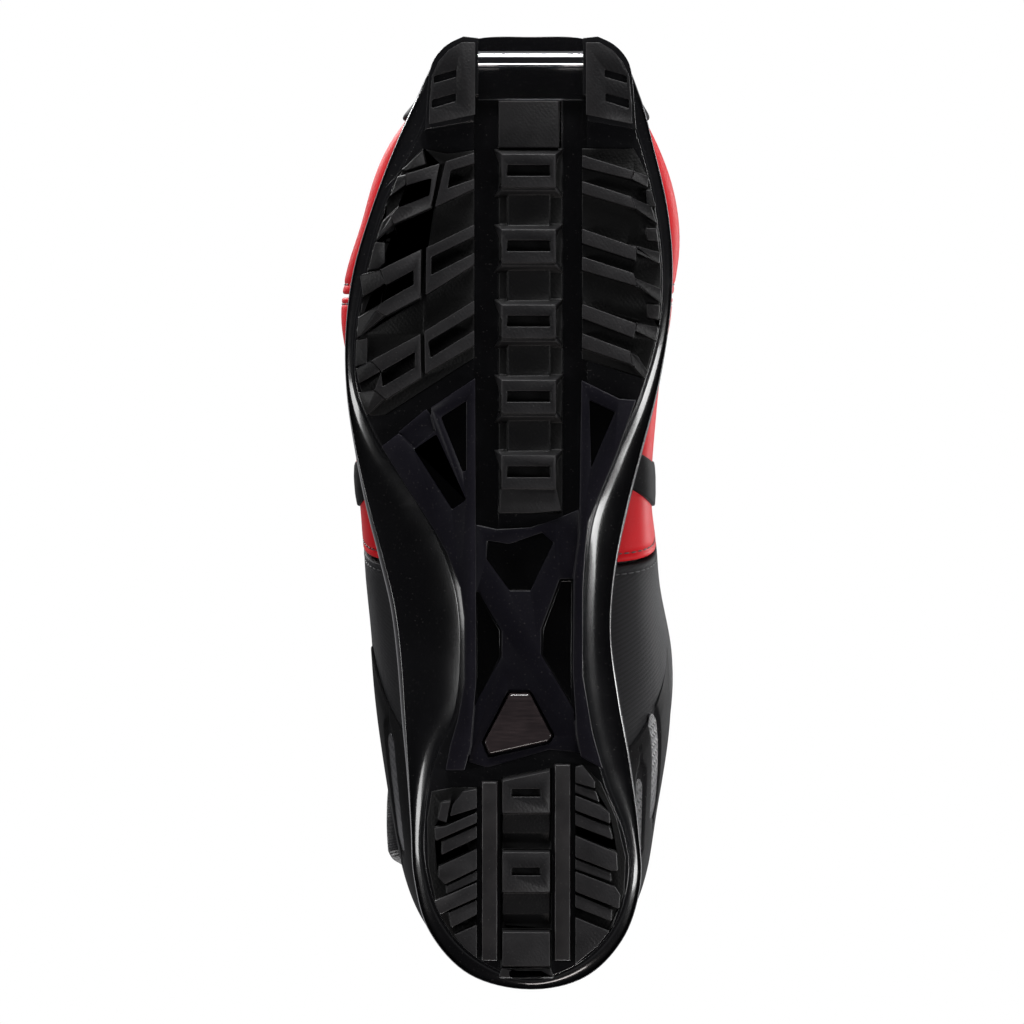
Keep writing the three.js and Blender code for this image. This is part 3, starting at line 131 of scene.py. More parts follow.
world = bpy.data.worlds.new("studio")
bpy.context.scene.world = world
world.use_nodes = True
tree = world.node_tree
tree.nodes.clear()
direction = put(tree, "ShaderNodeTexCoord")
height = put(tree, "ShaderNodeSeparateXYZ", {0: direction.outputs["Generated"]})
ramp = put(tree, "ShaderNodeValToRGB", {0: height.outputs["Z"]})
ramp.color_ramp.elements[0].position = 0.0
ramp.color_ramp.elements[0].color = (0.02, 0.02, 0.022, 1)
ramp.color_ramp.elements[1].position = 0.75
ramp.color_ramp.elements[1].color = (0.5, 0.5, 0.52, 1)
around = put(tree, "ShaderNodeBackground", {"Color": ramp.outputs[0], "Strength": 0.75})
seen = put(tree, "ShaderNodeBackground", {"Color": (1, 1, 1, 1), "Strength": 1.0})
ray = put(tree, "ShaderNodeLightPath")
shown = put(
    tree, "ShaderNodeMixShader", {0: ray.outputs["Is Camera Ray"], 1: around.outputs[0], 2: seen.outputs[0]}
)
put(tree, "ShaderNodeOutputWorld", {"Surface": shown.outputs[0]})
bpy.context.scene.view_settings.view_transform = "Standard"


# ==== tread rubber ====
# The rubber parts are compression moulded in a spark-eroded mould, so every face has a fine pebbled grain,
# and the lugs have small rounded edges. Each pad is one piece with its lugs, bonded under the sole frame.
def shader_group(name, inputs, outputs):
    """An empty shader node group with float and vector sockets, and its two end nodes."""
    group = bpy.data.node_groups.new(name, "ShaderNodeTree")
    for label, kind, value in inputs:
        socket = group.interface.new_socket(label, in_out="INPUT", socket_type="NodeSocket" + kind)
        if value is not None:
            socket.default_value = value
    for label, kind in outputs:
        group.interface.new_socket(label, in_out="OUTPUT", socket_type="NodeSocket" + kind)
    return group, put(group, "NodeGroupInput"), put(group, "NodeGroupOutput")


def maths(tree, operation, a, b=0.0, c=0.0):
    return put(tree, "ShaderNodeMath", {0: a, 1: b, 2: c}, operation=operation).outputs[0]


def noise(tree, vector, scale, detail):
    return put(
        tree, "ShaderNodeTexNoise", {"Vector": vector, "Scale": scale, "Detail": detail}
    ).outputs["Fac"]


def ranged(tree, value, low, high, to_low, to_high):
    return put(
        tree,
        "ShaderNodeMapRange",
        {"Value": value, "From Min": low, "From Max": high, "To Min": to_low, "To Max": to_high},
    ).outputs[0]


def bumped(tree, shader, height, strength, distance):
    """Feeds the shader's normal from a height."""
    bumps = put(tree, "ShaderNodeBump", {"Height": height, "Strength": strength, "Distance": distance})
    tree.links.new(bumps.outputs[0], shader.inputs["Normal"])


def build_grain():
    """Moulded grain: pebbles of one size over a slow unevenness."""
    group, given, result = shader_group(
        "moulded_grain",
        [("Vector", "Vector", None), ("Size", "Float", 0.0006), ("Depth", "Float", 0.5)],
        [("Height", "Float"), ("Patches", "Float")],
    )
    fineness = maths(group, "DIVIDE", 1.0, given.outputs["Size"])
    pebbles = put(group, "ShaderNodeTexVoronoi", {"Vector": given.outputs["Vector"], "Scale": fineness})
    slow = noise(group, given.outputs["Vector"], 55.0, 4.0)
    fine = noise(group, given.outputs["Vector"], 900.0, 2.0)
    grain = maths(group, "MULTIPLY", pebbles.outputs["Distance"], given.outputs["Depth"])
    rough = maths(group, "MULTIPLY_ADD", fine, 0.4, grain)
    group.links.new(rough, result.inputs["Height"])
    group.links.new(slow, result.inputs["Patches"])
    return group


def build_wear():
    """Where edges and high spots are rubbed: a mask from the surface's pointiness, broken up by noise."""
    group, given, result = shader_group(
        "edge_rub",
        [("Vector", "Vector", None), ("Pointiness", "Float", 0.5), ("Amount", "Float", 0.5)],
        [("Mask", "Float"), ("Dust", "Float")],
    )
    broken = noise(group, given.outputs["Vector"], 140.0, 6.0)
    edge = ranged(group, given.outputs["Pointiness"], 0.52, 0.62, 0.0, 1.0)
    rubbed = maths(group, "MULTIPLY", edge, broken)
    mask = maths(group, "MULTIPLY", rubbed, given.outputs["Amount"])
    specks = noise(group, given.outputs["Vector"], 1500.0, 1.0)
    dust = ranged(group, specks, 0.68, 0.8, 0.0, 1.0)
    group.links.new(mask, result.inputs["Mask"])
    group.links.new(dust, result.inputs["Dust"])
    return group


grain_group = build_grain()
wear_group = build_wear()


def principled(name, base, roughness, **plain):
    """A material with one Principled shader. Values that are the same all over sit on its own sockets."""
    finish = bpy.data.materials.new(name)
    finish.use_nodes = True
    tree = finish.node_tree
    shader = tree.nodes["Principled BSDF"]
    shader.inputs["Base Color"].default_value = (*base, 1)
    shader.inputs["Roughness"].default_value = roughness
    for label, value in plain.items():
        shader.inputs[label.replace("_", " ")].default_value = value
    return finish, tree, shader


def blend_colour(tree, factor, a, b):
    return put(
        tree, "ShaderNodeMix", {0: factor, 6: (*a, 1), 7: (*b, 1)}, data_type="RGBA"
    ).outputs[2]


def moulded(name, base, worn, roughness, grain_size, grain_depth, bump, hatch=0.0, recess_shade_height=0.0, **plain):
    """Moulded rubber or plastic: grain, slow patches, rubbed edges, dust specks and a face hatch. Given a
    height, the colour is painted darker from the ground up to that height: painted shade on the recess
    floors."""
    finish, tree, shader = principled(name, base, roughness, **plain)
    where = put(tree, "ShaderNodeTexCoord").outputs["Object"]
    surface = put(tree, "ShaderNodeNewGeometry")
    grain = put(tree, "ShaderNodeGroup", node_tree=grain_group)
    tree.links.new(where, grain.inputs["Vector"])
    grain.inputs["Size"].default_value = grain_size
    grain.inputs["Depth"].default_value = grain_depth
    wear = put(tree, "ShaderNodeGroup", node_tree=wear_group)
    tree.links.new(where, wear.inputs["Vector"])
    tree.links.new(surface.outputs["Pointiness"], wear.inputs["Pointiness"])
    wear.inputs["Amount"].default_value = 1.0
    dark, light = tuple(0.8 * c for c in base), tuple(1.25 * c for c in base)
    patchy = blend_colour(tree, grain.outputs["Patches"], dark, light)
    rubbed = put(
        tree, "ShaderNodeMix", {0: wear.outputs["Mask"], 6: patchy, 7: (*worn, 1)}, data_type="RGBA"
    ).outputs[2]
    specked = put(
        tree,
        "ShaderNodeMix",
        {0: maths(tree, "MULTIPLY", wear.outputs["Dust"], 0.10), 6: rubbed, 7: (0.3, 0.28, 0.27, 1)},
        data_type="RGBA",
    ).outputs[2]
    # Painted shade: the colour darkens with height above the tread faces, so the floors between the lugs look
    # shaded.
    if recess_shade_height:
        height = put(tree, "ShaderNodeSeparateXYZ", {0: where}).outputs[2]
        shown = ranged(tree, height, 0.0006, recess_shade_height, 1.0, 0.12)
        specked = put(
            tree, "ShaderNodeMix", {0: 1.0, 6: specked, 7: shown}, data_type="RGBA", blend_type="MULTIPLY"
        ).outputs[2]
    tree.links.new(specked, shader.inputs["Base Color"])
    uneven = maths(tree, "MULTIPLY_ADD", grain.outputs["Patches"], 0.22, roughness - 0.11)
    tree.links.new(uneven, shader.inputs["Roughness"])
    relief = grain.outputs["Height"]
    if hatch:
        turned = put(tree, "ShaderNodeMapping", {"Vector": where, "Rotation": (0, 0, math.radians(38))})
        lines = put(
            tree,
            "ShaderNodeTexWave",
            {"Vector": turned.outputs[0], "Scale": 260.0, "Distortion": 1.2, "Detail": 1.0},
        )
        relief = maths(tree, "MULTIPLY_ADD", lines.outputs["Fac"], hatch, relief)
    bumped(tree, shader, relief, bump, 0.0002)
    return finish


# The tread's floors between the lugs are painted darker than its faces on the ground: painted shade in the
# recesses.
tread_rubber = moulded(
    "tread_rubber", (0.0042, 0.004, 0.0048), (0.05, 0.048, 0.05), 0.5, 0.0007, 0.6, 0.5, hatch=0.16,
    recess_shade_height=0.0045, Specular_IOR_Level=0.26,
)
edge_radius = 0.00032


def copied(node):
    """A CAD node's mesh with its loose triangles merged and its flat faces made whole."""
    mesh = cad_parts[node].data.copy()
    mesh.materials.clear()
    body = bmesh.new()
    body.from_mesh(mesh)
    bmesh.ops.remove_doubles(body, verts=body.verts, dist=1e-6)
    bmesh.ops.dissolve_limit(body, angle_limit=math.radians(0.8), verts=body.verts, edges=body.edges)
    body.to_mesh(mesh)
    body.free()
    return mesh


def baked(piece):
    """The piece's modifiers applied, so that its mesh is plain."""
    view = bpy.context.evaluated_depsgraph_get()
    mesh = bpy.data.meshes.new_from_object(piece.evaluated_get(view))
    piece.modifiers.clear()
    piece.data = mesh
    return piece


def rounded(name, mesh, radius, material, segments=2, angle=24):
    """A closed mesh with its sharp edges rounded, kept inside its own box, and shaded smooth between them."""
    before = np.zeros(len(mesh.vertices) * 3)
    mesh.vertices.foreach_get("co", before)
    before = before.reshape(-1, 3)
    piece = bpy.data.objects.new(name, mesh)
    collection.objects.link(piece)
    mesh.shade_smooth()
    bevel = piece.modifiers.new("round_edges", "BEVEL")
    bevel.width = radius
    bevel.segments = segments
    bevel.limit_method = "ANGLE"
    bevel.angle_limit = math.radians(angle)
    bevel.use_clamp_overlap = False
    bevel.harden_normals = True
    bevel.miter_outer = "MITER_ARC"
    baked(piece)
    after = np.zeros(len(piece.data.vertices) * 3)
    piece.data.vertices.foreach_get("co", after)
    after = np.clip(after.reshape(-1, 3), before.min(axis=0), before.max(axis=0))
    piece.data.vertices.foreach_set("co", after.reshape(-1))
    piece.data.materials.clear()
    piece.data.materials.append(material)
    return piece


def stands_for(piece, body, slot, *nodes):
    """The piece rides on a body and is shown in place of the CAD nodes. slot is not used."""
    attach(piece, body)
    if nodes:
        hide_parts(*nodes)
    return piece


for node in (
    "forefoot_tread_lateral",
    "forefoot_tread_medial",
    "centre_ladder",
    "heel_centre_tread",
    "heel_tread_lateral",
    "heel_tread_medial",
    "toe_lug_lateral",
    "toe_lug_medial",
):
    pad = rounded(node + "_rubber", copied(node), edge_radius, tread_rubber)
    stands_for(pad, "boot", "rubber", node)


# ==== waist frame and its badge ====
# The rails and the crossed brace under the arch are a smoother rubber than the lugs, with a soft sheen. The
# badge is a plate of domed resin in a seat in the brace; it carries only a plain brushed field.
waist_rubber = moulded(
    "waist_rubber", (0.0032, 0.0029, 0.0052), (0.02, 0.018, 0.026), 0.42, 0.0011, 0.35, 0.25,
    Specular_IOR_Level=0.14,
)
waist = rounded("arch_frame_rubber", copied("arch_frame"), 0.00036, waist_rubber)
stands_for(waist, "boot", "rubber", "arch_frame")

resin, tree, shader = principled(
    "badge_resin", (0.02, 0.017, 0.018), 0.24, Coat_Weight=1.0, Coat_Roughness=0.07
)
where = put(tree, "ShaderNodeTexCoord").outputs["Object"]
stretched = put(
    tree, "ShaderNodeMapping", {"Vector": where, "Scale": (1.0, 9.0, 1.0), "Rotation": (0, 0, 0.5)}
)
brushed = noise(tree, stretched.outputs[0], 160.0, 5.0)
cloud = noise(tree, where, 70.0, 3.0)
tone = maths(tree, "MULTIPLY", brushed, cloud)
field = blend_colour(tree, tone, (0.006, 0.005, 0.006), (0.075, 0.055, 0.056))
tree.links.new(field, shader.inputs["Base Color"])
bumped(tree, shader, cloud, 0.12, 0.0004)
badge = rounded("arch_badge", copied("arch_inlay"), 0.0005, resin, segments=4)
stands_for(badge, "boot", "inlay", "arch_inlay")


# ==== heel ribs ====
# Two long ribs of harder moulded TPU stand on each side of the heel's centre strip. Their faces carry fine
# lengthwise scuffs from walking.
rib_plastic = moulded(
    "rib_plastic", (0.006, 0.0057, 0.0066), (0.06, 0.056, 0.056), 0.38, 0.0009, 0.25, 0.25,
    Specular_IOR_Level=0.35,
)
for side in ("lateral", "medial"):
    rib = rounded(f"heel_rib_{side}_plastic", copied(f"heel_rib_{side}"), 0.0003, rib_plastic)
    stands_for(rib, "boot", "rib", f"heel_rib_{side}")


# ==== the boot's skin ====
# The upper is lasted: every panel follows one surface, lofted through stations that fan round the ankle. A
# place on it is a station s, from the toe tip to the collar, a turn, from 0 at the front ridge to pi under
# the foot or down the back (minus is lateral), and a depth inside the outermost layer, in millimetres.
mm = 0.001
bar_low, bar_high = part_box("toe_bar")
bar_setback = -142.0  # the toe bar in the drawn plan, whose centreline is x = 0
drawn_to_row = np.array([(bar_low.x + bar_high.x) / 2, (bar_low.y + bar_high.y) / 2 - bar_setback * mm, 0.0])
# front or upper end y, z; sole or back end y, z; centre x; half width; where widest; crown; base
stations = np.array(
    [
        (-147, 27, -147, 27, 0, 0, 0.5, 2.2, 2.2),
        (-144, 38, -145, 17, 0, 22.5, 0.52, 2.2, 2.6),
        (-134, 48.5, -137, 14.5, 0, 31.5, 0.58, 2.2, 3.6),
        (-116, 57, -116, 14, -2.3, 44.9, 0.62, 2.15, 2.7),
        (-94, 65, -93, 14, -3.05, 51.85, 0.66, 2.1, 3.1),
        (-68, 76, -66, 14, -7.4, 54.25, 0.68, 2, 3.4),
        (-45, 88, -36, 14.5, -8, 50.4, 0.68, 1.95, 5),
        (-20, 105.3, -4, 16, -8, 48.6, 0.66, 1.9, 4.5),
        (3, 121.2, 32, 18, -5.3, 48.8, 0.6, 1.9, 3.8),
        (20, 133, 76, 20, -2.2, 49.6, 0.57, 1.95, 3),
        (31, 140.6, 122, 20.5, -1.9, 45, 0.56, 2, 2.5),
        (37, 147, 148.5, 42, -1.5, 42, 0.54, 2, 2.3),
        (41, 153, 142.5, 82, -1.2, 40, 0.52, 2.05, 2.2),
        (44.5, 160, 135.5, 120, -1, 39, 0.5, 2.1, 2.2),
        (47, 168, 139, 160, -1, 39, 0.5, 2.1, 2.2),
    ]
)
last_station = len(stations) - 1


def station_values(s):
    i = np.clip(np.floor(s).astype(int), 0, last_station - 1)
    t = (s - i)[..., None]
    a, b, c, d = (stations[np.clip(i + k, 0, last_station)] for k in (-1, 0, 1, 2))
    curve = (c - a) * t + (2 * a - 5 * b + 4 * c - d) * t**2 + (3 * b - a - 3 * c + d) * t**3
    return b + 0.5 * curve


def skin(s, turn, depth=0.0):
    """Points of the upper in the row frame, in metres, for arrays of stations, turns and depths."""
    s, turn, depth = np.broadcast_arrays(*(np.asarray(given, float) for given in (s, turn, depth)))
    v = station_values(s)
    top, low = v[..., 0:2], v[..., 2:4]
    centre = (top + low) / 2
    reach = np.linalg.norm(top - low, axis=-1) / 2
    shrink = 1 - depth / np.maximum(reach, 20)
    half = np.maximum(v[..., 5], 0)
    narrow = half * (1 - depth / np.maximum(half, 36))
    wide = v[..., 6]
    angle = np.minimum(np.abs(turn), math.pi)
    upper = angle < math.pi / 2
    power = 2 / np.where(upper, v[..., 7], v[..., 8])
    across = np.maximum(np.sin(angle), 0) ** power
    along = np.abs(np.cos(angle)) ** power
    down = np.where(upper, wide * (1 - along), wide + (1 - wide) * along)[..., None]
    place = (top + (low - top) * down - centre) * shrink[..., None] + centre
    y = place[..., 0] + depth * np.maximum(0, 1 - s / 3)
    x = v[..., 4] + np.sign(turn) * narrow * across
    return np.stack([x, y, place[..., 1]], axis=-1) * mm + drawn_to_row


def wrapped(u):
    """A turn that runs from the front ridge round the lateral side, the back and the medial side."""
    return np.where(u <= math.pi, -u, 2 * math.pi - u)


edge_rows = np.array([0, 0.1, 0.3, 0.6, 1.0, 1.5, 1.9, 2.3, 2.7, 3.3, 4.2])  # mm from a panel's edge


def spaced(length, cell, rows):
    rows = rows[rows < 0.4 * length] / length
    middle = np.linspace(rows[-1], 1 - rows[-1], max(int((1 - 2 * rows[-1]) * length / cell), 1) + 1)
    return np.concatenate([rows[:-1], middle, (1 - rows[:-1])[::-1]])


def grid_mesh(name, outer, inner, closed=False):
    """A closed sheet between two grids of points, with a cloth UV map in metres along its two directions."""
    na, nb = outer.shape[:2]
    points = np.concatenate([outer.reshape(-1, 3), inner.reshape(-1, 3)])
    index = np.arange(2 * na * nb).reshape(2, na, nb)
    faces = []
    o, n = index
    for i in range(na - 1):
        for j in range(nb - 1):
            faces.append((o[i, j], o[i + 1, j], o[i + 1, j + 1], o[i, j + 1]))
            faces.append((n[i, j], n[i, j + 1], n[i + 1, j + 1], n[i + 1, j]))
    if not closed:
        for i in range(na - 1):
            faces.append((o[i, 0], n[i, 0], n[i + 1, 0], o[i + 1, 0]))
            faces.append((o[i, -1], o[i + 1, -1], n[i + 1, -1], n[i, -1]))
    for j in range(nb - 1):
        faces.append((o[0, j], o[0, j + 1], n[0, j + 1], n[0, j]))
        faces.append((o[-1, j], n[-1, j], n[-1, j + 1], o[-1, j + 1]))
    mesh = bpy.data.meshes.new(name)
    mesh.from_pydata(points.tolist(), [], [tuple(int(k) for k in face) for face in faces])
    along = np.linalg.norm(np.diff(outer, axis=0), axis=-1).mean(axis=1)
    v = np.concatenate([[0], np.cumsum(along)])
    step = np.linalg.norm(np.diff(outer, axis=1), axis=-1).max(axis=0)
    u = np.concatenate([[0], np.cumsum(step)])
    uv = np.stack(np.meshgrid(u - u.mean(), v), axis=-1).reshape(-1, 2)
    uv = np.concatenate([uv, uv])
    layer = mesh.uv_layers.new(name="cloth")
    corners = np.zeros(len(mesh.loops), int)
    mesh.loops.foreach_get("vertex_index", corners)
    layer.data.foreach_set("uv", uv[corners].reshape(-1))
    mesh.shade_smooth()
    return mesh


def facing_out(mesh, merge=1e-6):
    body = bmesh.new()
    body.from_mesh(mesh)
    bmesh.ops.remove_doubles(body, verts=body.verts, dist=merge)
    bmesh.ops.recalc_face_normals(body, faces=body.faces)
    body.to_mesh(mesh)
    body.free()
    return mesh


def shell(name, place, outer, inner, material, cell=2.4, roll=0.8, seam=0.0, relief=None, closed=False):
    """One panel of the upper. place turns (a, b) in 0..1 into station and turn. roll rounds its outer edge,
    seam is how deep its stitch line is drawn in, and relief adds depth, all in millimetres."""
    samples = np.linspace(0, 1, 25)
    half = np.full(25, 0.5)
    length = [
        np.linalg.norm(np.diff(skin(*place(a, b), outer), axis=0), axis=1).sum() / mm
        for a, b in ((samples, half), (half, samples))
    ]
    ta = spaced(length[0], cell, edge_rows)
    tb = spaced(length[1], cell, edge_rows)
    if closed:
        tb = np.linspace(0, 1, max(int(length[1] / cell), 12))
    a, b = np.meshgrid(ta, tb, indexing="ij")
    s, turn = place(a, b)
    edge_a = np.minimum(a, 1 - a) * length[0]
    edge_b = np.minimum(b, 1 - b) * length[1]
    edge = edge_a if closed else np.minimum(edge_a, edge_b)
    t = np.clip(1 - edge / max(roll, 1e-6), 0, 1)
    drop = roll * (1 - np.sqrt(1 - t**2))
    drop = drop + seam * np.exp(-(((edge - 2.3) / 0.55) ** 2))
    if relief is not None:
        drop = drop + relief(s, turn, edge)
    top = skin(s, turn, outer + drop)
    under = skin(s, turn, np.maximum(inner, outer + drop + 0.15))
    piece = bpy.data.objects.new(name, facing_out(grid_mesh(name, top, under, closed)))
    collection.objects.link(piece)
    piece.data.materials.append(material)
    return piece


def between(s0, s1, turn0, turn1):
    """A plain panel between two stations and two turns."""
    return lambda a, b: (s0 + (s1 - s0) * a, turn0 + (turn1 - turn0) * b)


def around_back(s0, s1, turn0):
    """A panel that wraps round the sole or the back, from one turn to the same turn on the other side."""
    return lambda a, b: (s0 + (s1 - s0) * a, wrapped(turn0 + (2 * math.pi - 2 * turn0) * b))


# ==== sole frame ====
# The frame is injection moulded in glossy TPU: a cup that the upper is cemented into, with a hollowed flank,
# a rounded rim, two ears for the toe bar, two guide grooves and pockets over the waist. The grooves, the
# recess and the pockets are cut with straight walls and get small rounded edges.
sole_edge = [
    (0, -149.6), (-17, -149), (-28, -144.3), (-36.5, -129), (-44, -112), (-50.2, -95), (-55.8, -76),
    (-58.2, -57), (-57.9, -38), (-55.2, -19), (-51.8, -2), (-48, 13), (-44, 30), (-42, 46), (-40.6, 64),
    (-39, 82), (-37.8, 99), (-36.8, 115), (-32, 132), (-19.5, 145.6), (0, 150.4), (17.5, 146.4),
    (29.5, 134), (34.8, 117), (34.3, 101), (31.5, 78), (28, 58), (25.6, 38), (27, 18), (31, -2),
    (35.5, -20), (40.5, -40), (44, -62), (44.8, -79), (43, -97), (38.8, -115), (34.5, -131),
    (28, -144.3), (17, -149),
]
tread_edge = [
    (0, -146), (-18, -145.5), (-29, -137), (-33, -122), (-39.5, -109), (-45.8, -96), (-51.2, -76),
    (-54.8, -57), (-54.6, -40), (-48, -23), (-36, -5.5), (-27, 9.5), (-21.8, 25), (-20.5, 42), (-22.5, 62),
    (-29.5, 77), (-33, 95), (-33, 110), (-28, 127), (-17, 139.5), (0, 146), (15.5, 141), (26, 130),
    (30.7, 114), (29.3, 101), (23.5, 86), (18.5, 66), (16.3, 45), (16.4, 23), (18.3, 3), (26, -17),
    (34.5, -37), (40.3, -58), (41.3, -76), (39.6, -92), (36.5, -107), (32.5, -121), (28.5, -137),
    (18, -145.5),
]
flank = [
    (0, 0), (0.03, 0.16), (0.08, 0.28), (0.24, 0.35), (0.45, 0.395), (0.66, 0.425), (0.8, 0.43),
    (0.89, 0.405), (0.94, 0.4), (0.98, 0.46), (1, 0.56), (1.006, 0.7), (1.004, 0.84), (0.995, 0.94),
    (0.97, 0.99), (0.93, 1.0), (0.7, 1),
]
frame_floor = 5.7
recess_depth = 13.2
bar_free_half = 16.4
recess_end = -129.6
groove = (10.2, 17.8, 9.0)  # inner wall, outer wall, depth
pocket_depth = 10.6


def closed_curve(outline, count):
    """A centripetal Catmull-Rom curve through a closed outline."""
    p = np.array(outline, float)
    n = len(p)
    place = np.arange(count) * n / count
    i = np.floor(place).astype(int)
    t = (place - i)[:, None]
    p0, p1, p2, p3 = (p[(i + k) % n] for k in (-1, 0, 1, 2))
    d0, d1, d2 = (np.sqrt(np.linalg.norm(b - a, axis=1))[:, None] for a, b in ((p0, p1), (p1, p2), (p2, p3)))
    t1 = ((p1 - p0) / d0 - (p2 - p0) / (d0 + d1) + (p2 - p1) / d1) * d1
    t2 = ((p2 - p1) / d1 - (p3 - p1) / (d1 + d2) + (p3 - p2) / d2) * d1
    return p1 + t1 * t + (3 * (p2 - p1) - 2 * t1 - t2) * t**2 + (2 * (p1 - p2) + t1 + t2) * t**3


def smoothstep(x, low, high):
    t = np.clip((x - low) / (high - low), 0, 1)
    return t * t * (3 - 2 * t)


def lip_height(y):
    return 19 + 4 * smoothstep(y, -60, 30) + 6 * smoothstep(y, 60, 135)


def closed_mesh(name, rings):
    """A closed mesh through rings of points in drawn millimetres, with flat ends."""
    count = len(rings[0])
    points = np.concatenate(rings) * mm + drawn_to_row
    faces = []
    for r in range(len(rings) - 1):
        for i in range(count):
            j = (i + 1) % count
            faces.append((r * count + i, r * count + j, (r + 1) * count + j, (r + 1) * count + i))
    faces.append(tuple(range(count)))
    faces.append(tuple(reversed(range((len(rings) - 1) * count, len(rings) * count))))
    mesh = bpy.data.meshes.new(name)
    mesh.from_pydata(points.tolist(), [], faces)
    return facing_out(mesh)


def prism(outline, z0, z1):
    low = np.array([(x, y, z0) for x, y in outline], float)
    high = np.array([(x, y, z1) for x, y in outline], float)
    return closed_mesh("prism", [low, high])


def block(x0, x1, y0, y1, z0, z1):
    return prism([(x0, y0), (x1, y0), (x1, y1), (x0, y1)], z0, z1)


def cut(piece, mesh, operation="DIFFERENCE"):
    """Cuts one closed mesh from a piece, or joins it on."""
    tool = bpy.data.objects.new("tool", mesh)
    collection.objects.link(tool)
    step = piece.modifiers.new("cut", "BOOLEAN")
    step.object = tool
    step.operation = operation
    step.solver = "MANIFOLD"
    baked(piece)
    bpy.data.objects.remove(tool)
    return piece


def eased(outline, first, last, per=5):
    """An outline whose corners from first to last are drawn through as one smooth curve."""
    run = np.array(outline[first : last + 1], float)
    i = np.repeat(np.arange(len(run) - 1), per)
    t = np.tile(np.arange(per) / per, len(run) - 1)[:, None]
    a, b, c, d = (run[np.clip(i + k, 0, len(run) - 1)] for k in (-1, 0, 1, 2))
    curve = b + 0.5 * ((c - a) * t + (2 * a - 5 * b + 4 * c - d) * t**2 + (3 * b - a - 3 * c + d) * t**3)
    return [*outline[:first], *map(tuple, curve), *outline[last:]]


around = 320
low_ring = closed_curve(tread_edge, around)
high_ring = closed_curve(sole_edge, around)
rings = []
for out, up in flank:
    plan = low_ring + (high_ring - low_ring) * out
    rise = frame_floor + (lip_height(high_ring[:, 1]) - frame_floor) * up
    rings.append(np.column_stack([plan, rise]))
sole = bpy.data.objects.new("sole_frame_moulding", closed_mesh("sole_frame_moulding", rings))
collection.objects.link(sole)

ear = eased(
    [
        (-bar_free_half, -148.4), (-21, -148.9), (-26, -146.4), (-29.8, -142.4), (-31.6, -137.5),
        (-32.4, -128), (-33, -119.8), (-bar_free_half, -122.8),
    ],
    1,
    5,
)
for side in (1, -1):
    cut(sole, prism([(side * x, y) for x, y in ear], 1.3, recess_depth + 1), "UNION")
cut(sole, block(-bar_free_half, bar_free_half, -160, recess_end, -1, recess_depth))

s_rows = np.concatenate([np.linspace(0.02, 3, 34), np.linspace(3.15, 12, 62)])
turns = np.linspace(-math.pi, math.pi, 129)[:-1]
cavity = [(skin(np.full(128, s), turns, -0.3) - drawn_to_row) / mm for s in s_rows]
cut(sole, closed_mesh("cavity", cavity))
for side in (1, -1):
    inner, outer = sorted((side * groove[0], side * groove[1]))
    cut(sole, block(inner, outer, recess_end - 1, 6, -1, groove[2]))
pockets = [
    [(-28, -29.8), (-20.2, -34.8), (-20.2, -13), (-21.2, -12.8)],
    [(-36.2, -19.4), (-29.6, -24), (-20.4, -3.8), (-24.5, -0.9)],
    [(18.4, -35.2), (26.4, -31.4), (19, -14)],
    [(-13.6, 8.8), (-6.5, 9.8), (3.6, 6.3), (7.2, 9.4), (0, 24.4), (-6.6, 24.4), (-13.8, 14.6)],
    [(-16.6, 25.6), (-9.8, 37), (-9.8, 45.2), (-16.6, 59)],
    [(12.8, 21.6), (9.8, 21.6), (4.1, 36.6), (4, 44.6), (12.6, 59.2)],
]
for pocket in pockets:
    cut(sole, prism(pocket, frame_floor - 1, pocket_depth))
bore_turns = np.linspace(0, 2 * math.pi, 49)[:-1]
bore = [
    np.column_stack([np.full(48, x), bar_setback + 2.8 * np.cos(bore_turns), 6.2 + 2.8 * np.sin(bore_turns)])
    for x in (-22.7, 22.7)
]
cut(sole, closed_mesh("bore", bore))

gloss_tpu = moulded(
    "gloss_tpu", (0.0045, 0.0045, 0.0052), (0.03, 0.03, 0.032), 0.2, 0.0016, 0.12, 0.08, Coat_Weight=0.6,
    Coat_Roughness=0.08, Specular_IOR_Level=0.5,
)
sole_mesh = facing_out(sole.data, merge=0.00008)
bpy.data.objects.remove(sole)
sole = rounded("sole_frame_moulding", sole_mesh, 0.00012, gloss_tpu, segments=2, angle=42)
stands_for(sole, "boot", "chassis", "sole_frame")


# ==== toe bar ====
# A hard chromed steel pin, 5 mm across and moulded into the ears at both ends, that the binding closes on.
# Its chrome has fine scratches round it where the binding's jaw turns. It is turned, with chamfered ends.
chrome, tree, shader = principled("hard_chrome", (0.66, 0.665, 0.68), 0.1, Metallic=1.0)
where = put(tree, "ShaderNodeTexCoord").outputs["Object"]
rings_round = put(tree, "ShaderNodeMapping", {"Vector": where, "Scale": (5200, 260, 260)})
scratches = noise(tree, rings_round.outputs[0], 1.0, 4.0)
tree.links.new(ranged(tree, scratches, 0.35, 0.7, 0.05, 0.2), shader.inputs["Roughness"])
bumped(tree, shader, scratches, 0.1, 0.0002)
bar_centre = (bar_low + bar_high) / 2
bar_radius = (bar_high.z - bar_low.z) / 2
bar_half = (bar_high.x - bar_low.x) / 2
profile = [
    (-bar_half, bar_radius * 0.7),
    (-bar_half + 0.0006, bar_radius),
    (bar_half - 0.0006, bar_radius),
    (bar_half, bar_radius * 0.7),
]
spin = np.linspace(0, 2 * math.pi, 65)[:-1]
rings = [
    np.column_stack([np.full(64, x), radius * np.cos(spin), radius * np.sin(spin)]) + np.array(bar_centre)
    for x, radius in profile
]
bar_mesh = closed_mesh("toe_bar_pin", [(ring - drawn_to_row) / mm for ring in rings])
bar = rounded("toe_bar_pin", bar_mesh, 0.0001, chrome, segments=2, angle=20)
stands_for(bar, "boot", "steel", "toe_bar")


